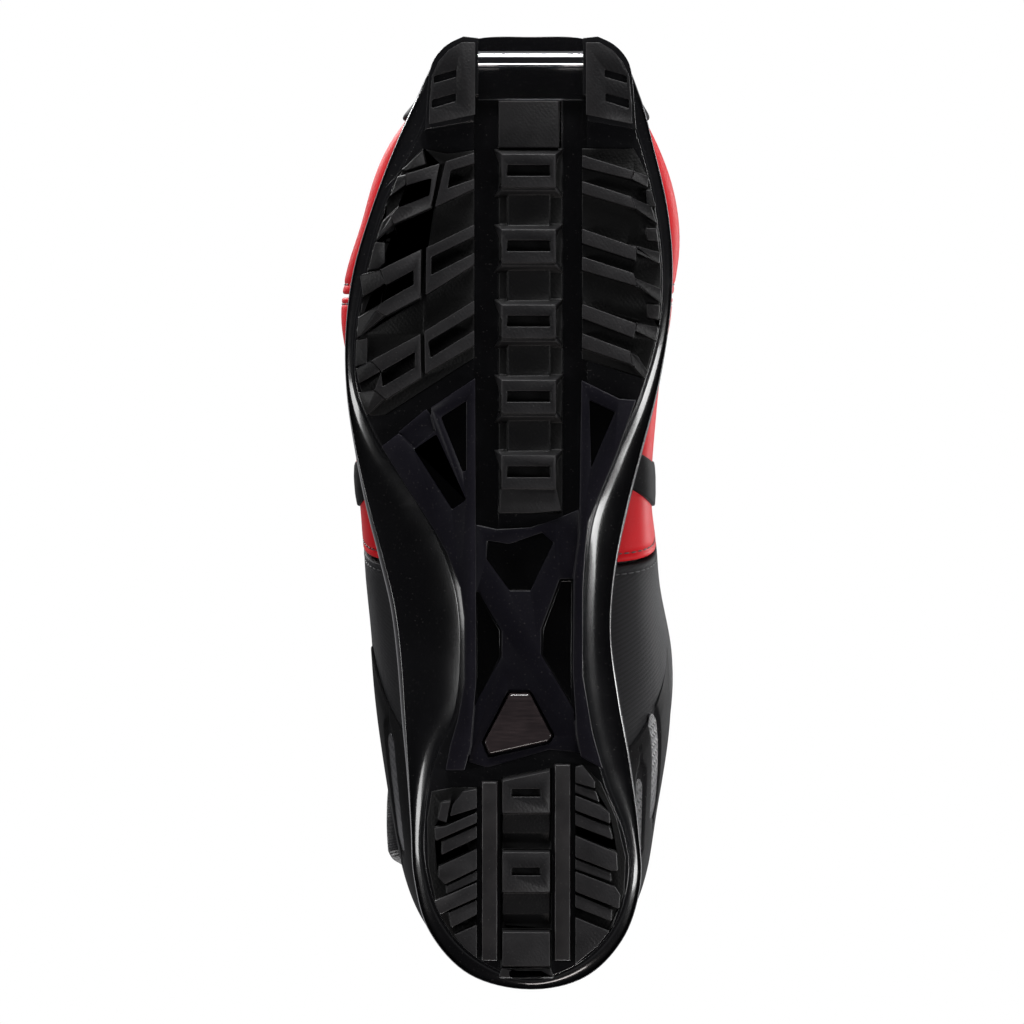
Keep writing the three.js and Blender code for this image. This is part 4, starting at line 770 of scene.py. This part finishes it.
# ==== toe cap, instep arms and heel counter ====
# Satin TPU mouldings: a cap all round the toe, a diagonal arm on each side that ties the sole to the
# instep, and a counter round the heel with three recesses. Their edges thin out and are cemented down.
satin_tpu = moulded(
    "satin_tpu", (0.0045, 0.0045, 0.005), (0.02, 0.02, 0.022), 0.62, 0.0009, 0.35, 0.22,
    Specular_IOR_Level=0.07,
)


def mix(a, b, t):
    return a + (b - a) * t


def cap_place(a, b):
    return 0.03 + 2.57 * a, wrapped(2 * math.pi * b)


cap = shell("toe_cap_moulding", cap_place, 0.1, 2.0, satin_tpu, cell=2.2, roll=0.9, closed=True)
stands_for(cap, "boot", "shell", "toe_cap")

for word, side in (("lateral", -1), ("medial", 1)):

    def arm_place(a, b):
        return mix(6.95, 6.45, b) + a * mix(0.5, 0.36, b), side * mix(0.91, 2.72, b)

    def arm_swell(s, turn, edge):
        return -0.5 * np.clip(edge / 4.5, 0, 1) ** 0.7

    arm = shell(
        f"instep_arm_{word}_strap", arm_place, 1.1, 2.3, satin_tpu, cell=1.4, roll=0.7, relief=arm_swell
    )
    stands_for(arm, "boot", "shell", f"instep_arm_{word}")

# side, stations, turns of the two ends, width as a turn
plates = {
    "medial_upper": (1, 8.75, 9.85, 2.26, 2.02, 0.15),
    "medial_lower": (1, 9.2, 10.1, 2.38, 2.2, 0.12),
    "lateral": (-1, 8.95, 10.2, 2.16, 2.04, 0.16),
}
heel_turn = 1.78


def counter_place(a, b):
    bow = np.sin(math.pi * b)
    return mix(8.5 + 0.75 * bow, 12.1 + 0.75 * bow, a), wrapped(heel_turn + (2 * math.pi - 2 * heel_turn) * b)


def inside_plate(s, turn, plate):
    """How far inside a recess a place is: 1 at its middle, 0 at its edge and less outside."""
    side, s0, s1, t0, t1, wide = plate
    a = (s - s0) / (s1 - s0)
    round_end = np.sqrt(np.clip(np.minimum(a, 1 - a) / 0.09, 0.02, 1))
    across = np.abs(side * turn - mix(t0, t1, a)) / (wide / 2 * round_end)
    return 1 - across - 4 * np.maximum(0, np.abs(a - 0.5) - 0.5)


def counter_relief(s, turn, edge):
    drop = np.zeros_like(edge)
    for plate in plates.values():
        drop = np.maximum(drop, 0.75 * smoothstep(inside_plate(s, turn, plate), -0.05, 0.3))
    return drop + 0.55 * (1 - smoothstep(edge, 0, 7))


counter = shell(
    "heel_counter_moulding", counter_place, 0.9, 2.3, satin_tpu, cell=0.8, roll=0.5, relief=counter_relief
)
stands_for(counter, "boot", "shell", "heel_counter")


# ==== counter plates ====
# Thin plates of twill carbon fibre in clear resin lie in the counter's three recesses, each with rounded
# ends. The twill runs diagonally over the plate; its tows are about 1.2 mm wide.
def build_twill():
    """Two-over-two twill: which way the tow on top runs, and how high it stands."""
    group, given, result = shader_group(
        "twill_weave",
        [("Vector", "Vector", None), ("Tow", "Float", 0.0012)],
        [("Height", "Float"), ("Way", "Float")],
    )
    split = put(group, "ShaderNodeSeparateXYZ", {0: given.outputs["Vector"]})
    across = maths(group, "DIVIDE", split.outputs[0], given.outputs["Tow"])
    up = maths(group, "DIVIDE", split.outputs[1], given.outputs["Tow"])
    shift = maths(group, "SUBTRACT", maths(group, "FLOOR", across), maths(group, "FLOOR", up))
    over = maths(group, "LESS_THAN", maths(group, "FLOORED_MODULO", shift, 4.0), 1.5)
    wave_x = maths(group, "SINE", maths(group, "MULTIPLY", maths(group, "FRACT", across), math.pi))
    wave_y = maths(group, "SINE", maths(group, "MULTIPLY", maths(group, "FRACT", up), math.pi))
    chosen = put(group, "ShaderNodeMix", {0: over, 2: wave_y, 3: wave_x})
    group.links.new(chosen.outputs[0], result.inputs["Height"])
    group.links.new(over, result.inputs["Way"])
    return group


twill_group = build_twill()


def woven(name, warp, weft, tow, roughness, bump, **plain):
    """A twill of two thread colours over the piece's cloth UV, with slow patches of wear."""
    finish, tree, shader = principled(name, warp, roughness, **plain)
    cloth = put(tree, "ShaderNodeUVMap", uv_map="cloth").outputs[0]
    where = put(tree, "ShaderNodeTexCoord").outputs["Object"]
    twill = put(tree, "ShaderNodeGroup", node_tree=twill_group)
    turned = put(tree, "ShaderNodeMapping", {"Vector": cloth, "Rotation": (0, 0, 0.6)})
    tree.links.new(turned.outputs[0], twill.inputs["Vector"])
    twill.inputs["Tow"].default_value = tow
    slow = noise(tree, where, 60.0, 4.0)
    threads = blend_colour(tree, twill.outputs["Way"], warp, weft)
    deep = ranged(tree, twill.outputs["Height"], 0.0, 0.5, 0.35, 1.0)
    faded = ranged(tree, slow, 0.3, 0.7, 0.85, 1.15)
    amount = maths(tree, "MULTIPLY", deep, faded)
    shaded = put(
        tree, "ShaderNodeMix", {0: 1.0, 6: threads, 7: amount}, data_type="RGBA", blend_type="MULTIPLY"
    )
    tree.links.new(shaded.outputs[2], shader.inputs["Base Color"])
    uneven = maths(tree, "MULTIPLY_ADD", slow, 0.14, roughness - 0.07)
    tree.links.new(uneven, shader.inputs["Roughness"])
    bumped(tree, shader, twill.outputs["Height"], bump, 0.0003)
    return finish


carbon_twill = woven(
    "carbon_twill", (0.003, 0.003, 0.004), (0.035, 0.034, 0.038), 0.0011, 0.4, 0.25, Coat_Weight=0.12,
    Coat_Roughness=0.2,
)
for word, (side, s0, s1, t0, t1, wide) in plates.items():

    def plate_place(a, b):
        round_end = np.sqrt(np.clip(np.minimum(a, 1 - a) / 0.09, 0.02, 1))
        return mix(s0 + 0.12, s1, a), side * (mix(t0, t1, a) + 0.86 * wide * round_end * (b - 0.5))

    plate = shell(f"counter_plate_{word}_twill", plate_place, 1.45, 2.2, carbon_twill, cell=0.8, roll=0.1)
    stands_for(plate, "boot", "carbon", f"counter_plate_{word}")


# ==== vamp and side panels ====
# Red polyurethane-coated synthetic, about 2 mm with its backing: the vamp over the forefoot, and a side
# panel on each side of the waist. Edges are folded and stitched; the coating has a fine pressed grain.
coated_red = moulded(
    "coated_red", (0.5, 0.004, 0.009), (0.6, 0.03, 0.03), 0.5, 0.00055, 0.3, 0.22, Specular_IOR_Level=0.12,
)


def soft_folds(size, depth, seed):
    """Slow unevenness of a lasted panel: depth in millimetres, calmer towards its edges."""

    def relief(s, turn, edge):
        wave = np.sin(s * size + seed) * np.sin(turn * size * 1.7 + 2.1 * seed)
        wave = wave + 0.5 * np.sin(s * size * 2.3 + turn * size * 1.1 + 3 * seed)
        return depth * wave * np.clip(edge / 9, 0, 1)

    return relief


def vamp_place(a, b):
    return mix(0.9, 4.9, a), mix(-2.72, 2.72, b)


vamp = shell(
    "vamp_panel", vamp_place, 1.75, 4.2, coated_red, roll=0.7, seam=0.35, relief=soft_folds(2.2, 0.25, 1)
)
stands_for(vamp, "boot", "red_panel", "vamp")
for word, side in (("lateral", -1), ("medial", 1)):
    place = between(4.94, 7.6, side * 0.84, side * 2.72)
    panel = shell(
        f"side_panel_{word}_sheet", place, 1.75, 4.2, coated_red, roll=0.7, seam=0.35,
        relief=soft_folds(2.0, 0.25, 2 + side),
    )
    stands_for(panel, "boot", "red_panel", f"side_panel_{word}")


# ==== quarters, instep covers and bridge ====
# Softshell: a dense dark grey woven face bonded to foam and a knitted back, cut as two quarters round the
# heel and ankle, two covers over the instep beside the zip, and a bridge over the foot of the zip.
softshell = woven(
    "softshell", (0.0085, 0.0085, 0.01), (0.012, 0.012, 0.0138), 0.00045, 0.72, 0.22, Specular_IOR_Level=0.25
)


def quarter_place(side):
    def place(a, b):
        s = mix(7.64, 13.12, a)
        round_back = smoothstep(s, 9.55, 10.4)
        return s, side * mix(0.84, mix(2.72, math.pi - 0.012, round_back), b)

    return place


for word, side in (("lateral", -1), ("medial", 1)):
    quarter = shell(
        f"quarter_{word}_softshell", quarter_place(side), 1.75, 4.2, softshell, roll=0.8, seam=0.3,
        relief=soft_folds(2.4, 0.35, 4 + side),
    )
    stands_for(quarter, "boot", "softshell", f"quarter_{word}")
    cover = shell(
        f"instep_cover_{word}_softshell", between(5.95, 13, side * 0.058, side * 0.88), 0.0, 1.9, softshell,
        roll=0.9, seam=0.4, relief=soft_folds(2.1, 0.15, 6 + side),
    )
    stands_for(cover, "boot", "softshell", f"cover_{word}")
bridge = shell(
    "instep_bridge_softshell", between(4.3, 5.91, -0.88, 0.88), 0.0, 1.9, softshell, roll=0.9, seam=0.4,
    relief=soft_folds(2.1, 0.15, 9),
)
stands_for(bridge, "boot", "softshell", "instep_bridge")


# ==== webbing and eyestays ====
# Polyester webbing in flat ribs: the zip's two tapes, the heel loop, the strap's root and the strap. The
# eyestays under the covers are the same webbing, and are shown by their CAD solids.
webbing = woven(
    "webbing", (0.014, 0.014, 0.016), (0.024, 0.024, 0.027), 0.0009, 0.7, 0.6, Sheen_Weight=0.1,
    Sheen_Roughness=0.4,
)
for word, side in (("lateral", -1), ("medial", 1)):
    tape = shell(
        f"zip_tape_{word}_webbing", between(5.95, 10.3, side * 0.012, side * 0.178), 2.4, 3.6, webbing,
        cell=1.6, roll=0.3,
    )
    stands_for(tape, "boot", "webbing", f"zip_tape_{word}")
plain_webbing = moulded("plain_webbing", (0.016, 0.016, 0.018), (0.03, 0.03, 0.03), 0.75, 0.0008, 0.6, 0.5)
for word in ("lateral", "medial"):
    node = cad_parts[f"eyestay_{word}"]
    node.data.materials.clear()
    node.data.materials.append(plain_webbing)


# ==== instep zip ====
# A nylon coil zip runs up the ridge: turns of coil across the gap between the two tapes, a die-cast slider
# near the top and a pull on its pin. The slider runs down the coil; the pull hangs down and lifts.
def beads_along(name, inputs):
    """Starts a geometry node group: points Spacing apart on lines, and named inputs for their beads."""
    group = bpy.data.node_groups.new(name, "GeometryNodeTree")
    kinds = {"Geometry": "Geometry", "Spacing": "Float", **inputs, "Material": "Material"}
    for label, kind in kinds.items():
        group.interface.new_socket(label, in_out="INPUT", socket_type="NodeSocket" + kind)
    group.interface.new_socket("Geometry", in_out="OUTPUT", socket_type="NodeSocketGeometry")
    given = put(group, "NodeGroupInput")
    line = put(group, "GeometryNodeMeshToCurve", {"Mesh": given.outputs["Geometry"]})
    spaced_out = {"Curve": line.outputs[0], "Length": given.outputs["Spacing"]}
    even = put(group, "GeometryNodeResampleCurve", spaced_out, mode="LENGTH")
    return group, given, even.outputs[0]


def placed_beads(group, given, points, bead, rotation):
    """The end of the group: a bead on every point, made real and given its material."""
    placed = put(
        group, "GeometryNodeInstanceOnPoints", {"Points": points, "Instance": bead, "Rotation": rotation}
    )
    real = put(group, "GeometryNodeRealizeInstances", {"Geometry": placed.outputs[0]})
    finish = {"Geometry": real.outputs[0], "Material": given.outputs["Material"]}
    painted = put(group, "GeometryNodeSetMaterial", finish)
    put(group, "NodeGroupOutput", {"Geometry": painted.outputs[0]})
    return group


def build_coil():
    """Turns of coil across a line: Spacing, Width and Thickness in metres, Lean in radians."""
    group, given, points = beads_along("zip_coil", {"Width": "Float", "Thickness": "Float", "Lean": "Float"})
    turn_of_coil = put(group, "GeometryNodeMeshUVSphere", {"Segments": 8, "Rings": 6, "Radius": 0.5})
    size = put(
        group,
        "ShaderNodeCombineXYZ",
        {0: given.outputs["Width"], 1: given.outputs["Thickness"], 2: given.outputs["Thickness"]},
    )
    drawn = {"Geometry": turn_of_coil.outputs[0], "Scale": size.outputs[0]}
    bead = put(group, "GeometryNodeTransform", drawn)
    way = put(group, "GeometryNodeInputTangent")
    lean = put(group, "ShaderNodeCombineXYZ", {2: given.outputs["Lean"]})
    leaned = put(group, "FunctionNodeEulerToRotation", {0: lean.outputs[0]})
    aligned = put(
        group,
        "FunctionNodeAlignRotationToVector",
        {"Rotation": leaned.outputs[0], "Vector": way.outputs[0]},
        axis="Y",
    )
    return placed_beads(group, given, points, bead.outputs[0], aligned.outputs[0])


def along_lines(name, lines, group, material, **values):
    """A piece made by a geometry node group from lines of points in the row frame."""
    points = np.concatenate(lines)
    edges = []
    start = 0
    for line in lines:
        edges += [(start + i, start + i + 1) for i in range(len(line) - 1)]
        start += len(line)
    mesh = bpy.data.meshes.new(name)
    mesh.from_pydata(points.tolist(), edges, [])
    piece = bpy.data.objects.new(name, mesh)
    collection.objects.link(piece)
    step = piece.modifiers.new("made", "NODES")
    step.node_group = group
    sockets = {item.name: item.identifier for item in group.interface.items_tree if item.in_out == "INPUT"}
    for label, value in {"Material": material, **values}.items():
        step[sockets[label]] = value
    baked(piece)
    piece.data.shade_smooth()
    return piece


coil_group = build_coil()
coil_nylon, tree, shader = principled("coil_nylon", (0.02, 0.02, 0.022), 0.38)
where = put(tree, "ShaderNodeTexCoord").outputs["Object"]
rub = noise(tree, where, 240.0, 3.0)
rubbed = blend_colour(tree, rub, (0.01, 0.01, 0.011), (0.045, 0.045, 0.048))
tree.links.new(rubbed, shader.inputs["Base Color"])
ridge = skin(np.linspace(5.98, 10.3, 90), 0.0, 2.1)
coil = along_lines("zip_coil_teeth", [ridge], coil_group, coil_nylon, Spacing=0.0013, Width=0.0042,
                   Thickness=0.0011, Lean=0.0)
stands_for(coil, "boot", "webbing")

dark_metal, tree, shader = principled("dark_metal", (0.05, 0.05, 0.055), 0.32, Metallic=0.9)
where = put(tree, "ShaderNodeTexCoord").outputs["Object"]
surface = put(tree, "ShaderNodeNewGeometry")
wear = put(tree, "ShaderNodeGroup", node_tree=wear_group)
tree.links.new(where, wear.inputs["Vector"])
tree.links.new(surface.outputs["Pointiness"], wear.inputs["Pointiness"])
rubbed = blend_colour(tree, wear.outputs["Mask"], (0.045, 0.045, 0.05), (0.42, 0.42, 0.43))
tree.links.new(rubbed, shader.inputs["Base Color"])
uneven = maths(tree, "MULTIPLY_ADD", noise(tree, where, 400.0, 3.0), 0.3, 0.18)
tree.links.new(uneven, shader.inputs["Roughness"])
for node, body in (("zip_slider", "zip_slider"), ("zip_pull", "zip_pull")):
    casting = rounded(node + "_casting", copied(node), 0.0003, dark_metal, segments=2, angle=30)
    stands_for(casting, body, "dark_metal", node)


# ==== linings and footbed ====
# A knitted lining, 3 mm with its foam, follows the whole inside of the shoe. The footbed is a felted board
# with a raised rim. The tongue is a thin quilted pad under the zip, in the same knit.
def build_knit():
    """Rows of knitted loops over a cloth UV or object coordinates: a height, and slow patches."""
    group, given, result = shader_group(
        "knit_loops",
        [("Vector", "Vector", None), ("Loop", "Float", 0.001)],
        [("Height", "Float"), ("Patches", "Float")],
    )
    fineness = maths(group, "DIVIDE", 1.0, given.outputs["Loop"])
    pattern = {"Vector": given.outputs["Vector"], "Scale": fineness, "Randomness": 0.25}
    cells = put(group, "ShaderNodeTexVoronoi", pattern)
    slow = noise(group, given.outputs["Vector"], 70.0, 4.0)
    group.links.new(cells.outputs["Distance"], result.inputs["Height"])
    group.links.new(slow, result.inputs["Patches"])
    return group


knit_group = build_knit()


def knitted(name, low, high, loop, roughness, bump, **plain):
    finish, tree, shader = principled(name, low, roughness, **plain)
    where = put(tree, "ShaderNodeTexCoord").outputs["Object"]
    knit = put(tree, "ShaderNodeGroup", {"Vector": where, "Loop": loop}, node_tree=knit_group)
    tone = maths(tree, "MULTIPLY_ADD", knit.outputs["Height"], -0.9, knit.outputs["Patches"])
    clipped = put(tree, "ShaderNodeClamp", {0: maths(tree, "ADD", tone, 0.35)})
    tree.links.new(blend_colour(tree, clipped.outputs[0], low, high), shader.inputs["Base Color"])
    uneven = maths(tree, "MULTIPLY_ADD", knit.outputs["Patches"], 0.16, roughness - 0.08)
    tree.links.new(uneven, shader.inputs["Roughness"])
    turned_in = maths(tree, "MULTIPLY", knit.outputs["Height"], -1.0)
    bumped(tree, shader, turned_in, bump, 0.0004)
    return finish


lining_knit = knitted("lining_knit", (0.02, 0.02, 0.022), (0.05, 0.05, 0.053), 0.0011, 0.9, 0.5)
felt = knitted("footbed_felt", (0.035, 0.034, 0.034), (0.075, 0.072, 0.07), 0.0006, 0.95, 0.35)


def quilted(s, turn, edge):
    return 0.7 * np.exp(-(((np.abs(np.mod(s * 2, 1) - 0.5) - 0.5) / 0.06) ** 2)) * np.clip(edge / 4, 0, 1)


def toe_lining_place(a, b):
    return 0.05 + 4.84 * a, wrapped(2 * math.pi * b)


lining = shell("vamp_lining_knit", toe_lining_place, 5.2, 8.2, lining_knit, cell=5, closed=True)
stands_for(lining, "boot", "lining", "vamp_lining")
lining = shell("ankle_lining_knit", around_back(4.94, 13.12, 0.52), 5.2, 8.2, lining_knit, cell=4)
stands_for(lining, "boot", "lining", "ankle_lining")
tongue = shell(
    "tongue_pad", between(5.02, 13.85, -0.46, 0.46), 5.0, 8.6, lining_knit, cell=2.5, roll=1.6, relief=quilted
)
stands_for(tongue, "boot", "lining", "tongue")
footbed = shell("footbed_board", around_back(1.3, 10, 2.3), 9.2, 13.0, felt, cell=4)
stands_for(footbed, "boot", "footbed", "footbed")


# ==== collar ====
# The collar is a foam roll in brushed stretch knit round the top of the shaft, open at the front. The roll is
# inflated from a slimmer shape as cloth, so that its cover is tight, and it is sewn to the quarters.
def puffed(piece, voxel, reach, pressure):
    """Remeshes a piece and lets its cover swell as cloth, no further than reach."""
    even = piece.modifiers.new("even", "REMESH")
    even.mode = "VOXEL"
    even.voxel_size = voxel
    baked(piece)
    count = len(piece.data.vertices)
    before = np.zeros(count * 3)
    piece.data.vertices.foreach_get("co", before)
    cloth = piece.modifiers.new("cover", "CLOTH")
    cloth.settings.use_pressure = True
    cloth.settings.uniform_pressure_force = pressure
    cloth.settings.effector_weights.gravity = 0
    cloth.settings.quality = 6
    cloth.settings.mass = 0.3
    cloth.point_cache.frame_start = 1
    cloth.point_cache.frame_end = 20
    for instant in range(1, 21):
        bpy.context.scene.frame_set(instant)
    baked(piece)
    bpy.context.scene.frame_set(1)
    after = np.zeros(count * 3)
    piece.data.vertices.foreach_get("co", after)
    move = (after - before).reshape(-1, 3)
    length = np.linalg.norm(move, axis=1)[:, None]
    kept = before.reshape(-1, 3) + move * np.minimum(1, reach / np.maximum(length, 1e-9))
    piece.data.vertices.foreach_set("co", kept.reshape(-1))
    finer = piece.modifiers.new("finer", "SUBSURF")
    finer.levels = 1
    baked(piece)
    piece.data.shade_smooth()
    return piece


collar_knit = knitted(
    "collar_knit", (0.013, 0.013, 0.015), (0.04, 0.04, 0.043), 0.0009, 0.85, 0.45, Sheen_Weight=0.25,
    Sheen_Roughness=0.4,
)
collar = shell("collar_roll", around_back(13.02, 13.98, 0.56), 1.4, 7.4, collar_knit, cell=2.5, roll=2.0)
puffed(collar, 0.0035, 0.0012, 4.0)
collar.data.materials.clear()
collar.data.materials.append(collar_knit)
stands_for(collar, "boot", "collar", "collar_padding")


# ==== ankle strap and heel loop ====
# A webbing strap, 2 mm thick, is sewn down on the lateral side, folds back at its root and closes over the
# front of the ankle on a hook-and-loop pad. The heel loop is webbing too, sewn in at the top of the back.
strap_edges = (11.15, 12.65)  # stations of the strap's two edges
strap_shear = 0.2


def across_strap(a, turn):
    """A place on the strap: a across its width, and the turn along it."""
    return mix(*strap_edges, a), turn * (1 + strap_shear * (a - 0.5))


def strap_place(a, b):
    taper = 0.15 * b**8
    return across_strap(mix(taper, 1 - taper, a), mix(-1.5, 0.9, b))


def root_place(a, b):
    return across_strap(a, -mix(1.52, 1.95, b))


def pad_place(a, b):
    return across_strap(mix(0.07, 0.93, a), mix(0.24, 0.87, b))


strap = shell("ankle_strap_webbing", strap_place, -3.8, -1.85, webbing, cell=1.8, roll=0.6, seam=0.25)
stands_for(strap, "ankle_strap", "webbing", "ankle_strap")
root = shell("strap_root_webbing", root_place, -3.8, -0.35, webbing, cell=1.8, roll=0.6, seam=0.25)
stands_for(root, "boot", "webbing", "strap_root")
loops = knitted("loop_pile", (0.02, 0.02, 0.022), (0.05, 0.05, 0.052), 0.0008, 0.95, 0.8)
pad = shell("strap_pad_pile", pad_place, -1.5, -0.35, loops, cell=2, roll=0.3)
stands_for(pad, "boot", "webbing", "strap_pad")
loop = rounded("heel_loop_webbing", copied("heel_loop"), 0.0004, plain_webbing, segments=2, angle=40)
stands_for(loop, "boot", "webbing", "heel_loop")


# ==== lasting board and shank ====
# The fibre lasting board and the carbon-reinforced shank lie under the footbed, hidden in the sole; they keep
# their CAD solids, with a plain fibre finish.
fibre_board = moulded("fibre_board", (0.12, 0.1, 0.08), (0.2, 0.18, 0.15), 0.85, 0.0006, 0.5, 0.4)
for name in ("lasting_board", "shank_plate"):
    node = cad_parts[name]
    node.data.materials.clear()
    node.data.materials.append(fibre_board)


# ==== seams ====
# Every panel of cloth is sewn 2.3 mm in from its edge with bonded polyester thread: stitches 2.6 mm apart,
# lying in the groove the seam draws in. The strap has its own thread, which moves with it.
def build_stitches():
    """Stitches along lines: Spacing, Length and Thickness in metres, and a Seed for their unevenness."""
    group, given, points = beads_along("stitches", {"Length": "Float", "Thickness": "Float", "Seed": "Int"})
    stitch = put(group, "GeometryNodeMeshUVSphere", {"Segments": 7, "Rings": 5, "Radius": 0.5})
    size = put(
        group,
        "ShaderNodeCombineXYZ",
        {0: given.outputs["Thickness"], 1: given.outputs["Thickness"], 2: given.outputs["Length"]},
    )
    bead = put(group, "GeometryNodeTransform", {"Geometry": stitch.outputs[0], "Scale": size.outputs[0]})
    uneven = put(group, "FunctionNodeRandomValue", {"Seed": given.outputs["Seed"]}, data_type="FLOAT_VECTOR")
    uneven.inputs[0].default_value = (-0.06, -0.06, -0.06)
    uneven.inputs[1].default_value = (0.06, 0.06, 0.06)
    way = put(group, "GeometryNodeInputTangent")
    swayed = put(group, "ShaderNodeVectorMath", {0: way.outputs[0], 1: uneven.outputs[0]}, operation="ADD")
    aligned = put(group, "FunctionNodeAlignRotationToVector", {"Vector": swayed.outputs[0]}, axis="Z")
    return placed_beads(group, given, points, bead.outputs[0], aligned.outputs[0])


stitch_group = build_stitches()
thread_black, tree, shader = principled("thread_black", (0.03, 0.03, 0.032), 0.55)
where = put(tree, "ShaderNodeTexCoord").outputs["Object"]
fuzz = noise(tree, where, 2500.0, 2.0)
fuzzy = blend_colour(tree, fuzz, (0.015, 0.015, 0.016), (0.06, 0.06, 0.064))
tree.links.new(fuzzy, shader.inputs["Base Color"])


def seam_loop(place, depth, inset=2.3, low=True, high=True, first=True, last=True):
    """Lines of a seam a few millimetres inside a panel's chosen edges."""
    t = np.linspace(0, 1, 60)
    half = np.full(60, 0.5)
    long_a = np.linalg.norm(np.diff(skin(*place(t, half), depth), axis=0), axis=1).sum() / mm
    long_b = np.linalg.norm(np.diff(skin(*place(half, t), depth), axis=0), axis=1).sum() / mm
    ia, ib = inset / long_a, inset / long_b
    run_a = np.linspace(ia, 1 - ia, 90)
    run_b = np.linspace(ib, 1 - ib, 140)
    lines = []
    if low:
        lines.append(skin(*place(run_a, np.full(90, ib)), depth))
    if high:
        lines.append(skin(*place(run_a, np.full(90, 1 - ib)), depth))
    if first:
        lines.append(skin(*place(np.full(140, ia), run_b), depth))
    if last:
        lines.append(skin(*place(np.full(140, 1 - ia), run_b), depth))
    return lines


panels = seam_loop(vamp_place, 2.0, low=False, high=False)
covers = seam_loop(between(4.3, 5.91, -0.88, 0.88), 0.3)
for side in (1, -1):
    panels += seam_loop(between(4.94, 7.6, side * 0.84, side * 2.72), 2.0, high=False)
    panels += seam_loop(quarter_place(side), 2.0, low=False, high=False)
    covers += seam_loop(between(5.95, 13, side * 0.058, side * 0.88), 0.3)
sewn = along_lines("seam_stitches", panels + covers, stitch_group, thread_black, Spacing=0.0026,
                   Length=0.0022, Thickness=0.00055, Seed=3)
stands_for(sewn, "boot", "webbing")
strap_seam = seam_loop(strap_place, -3.6, inset=2.3, first=True, last=True, low=False, high=True)
sewn = along_lines("strap_stitches", strap_seam, stitch_group, thread_black, Spacing=0.0026, Length=0.0022,
                   Thickness=0.00055, Seed=5)
stands_for(sewn, "ankle_strap", "webbing")
root_seam = seam_loop(root_place, -3.6, inset=2.3)
cross_s = [root_place(np.linspace(0.12, 0.88, 40), np.linspace(p, 1 - p, 40)) for p in (0.15, 0.85)]
root_seam += [skin(s, turn, -3.75) for s, turn in cross_s]
sewn = along_lines("root_stitches", root_seam, stitch_group, thread_black, Spacing=0.0026, Length=0.0022,
                   Thickness=0.00055, Seed=7)
stands_for(sewn, "boot", "webbing")
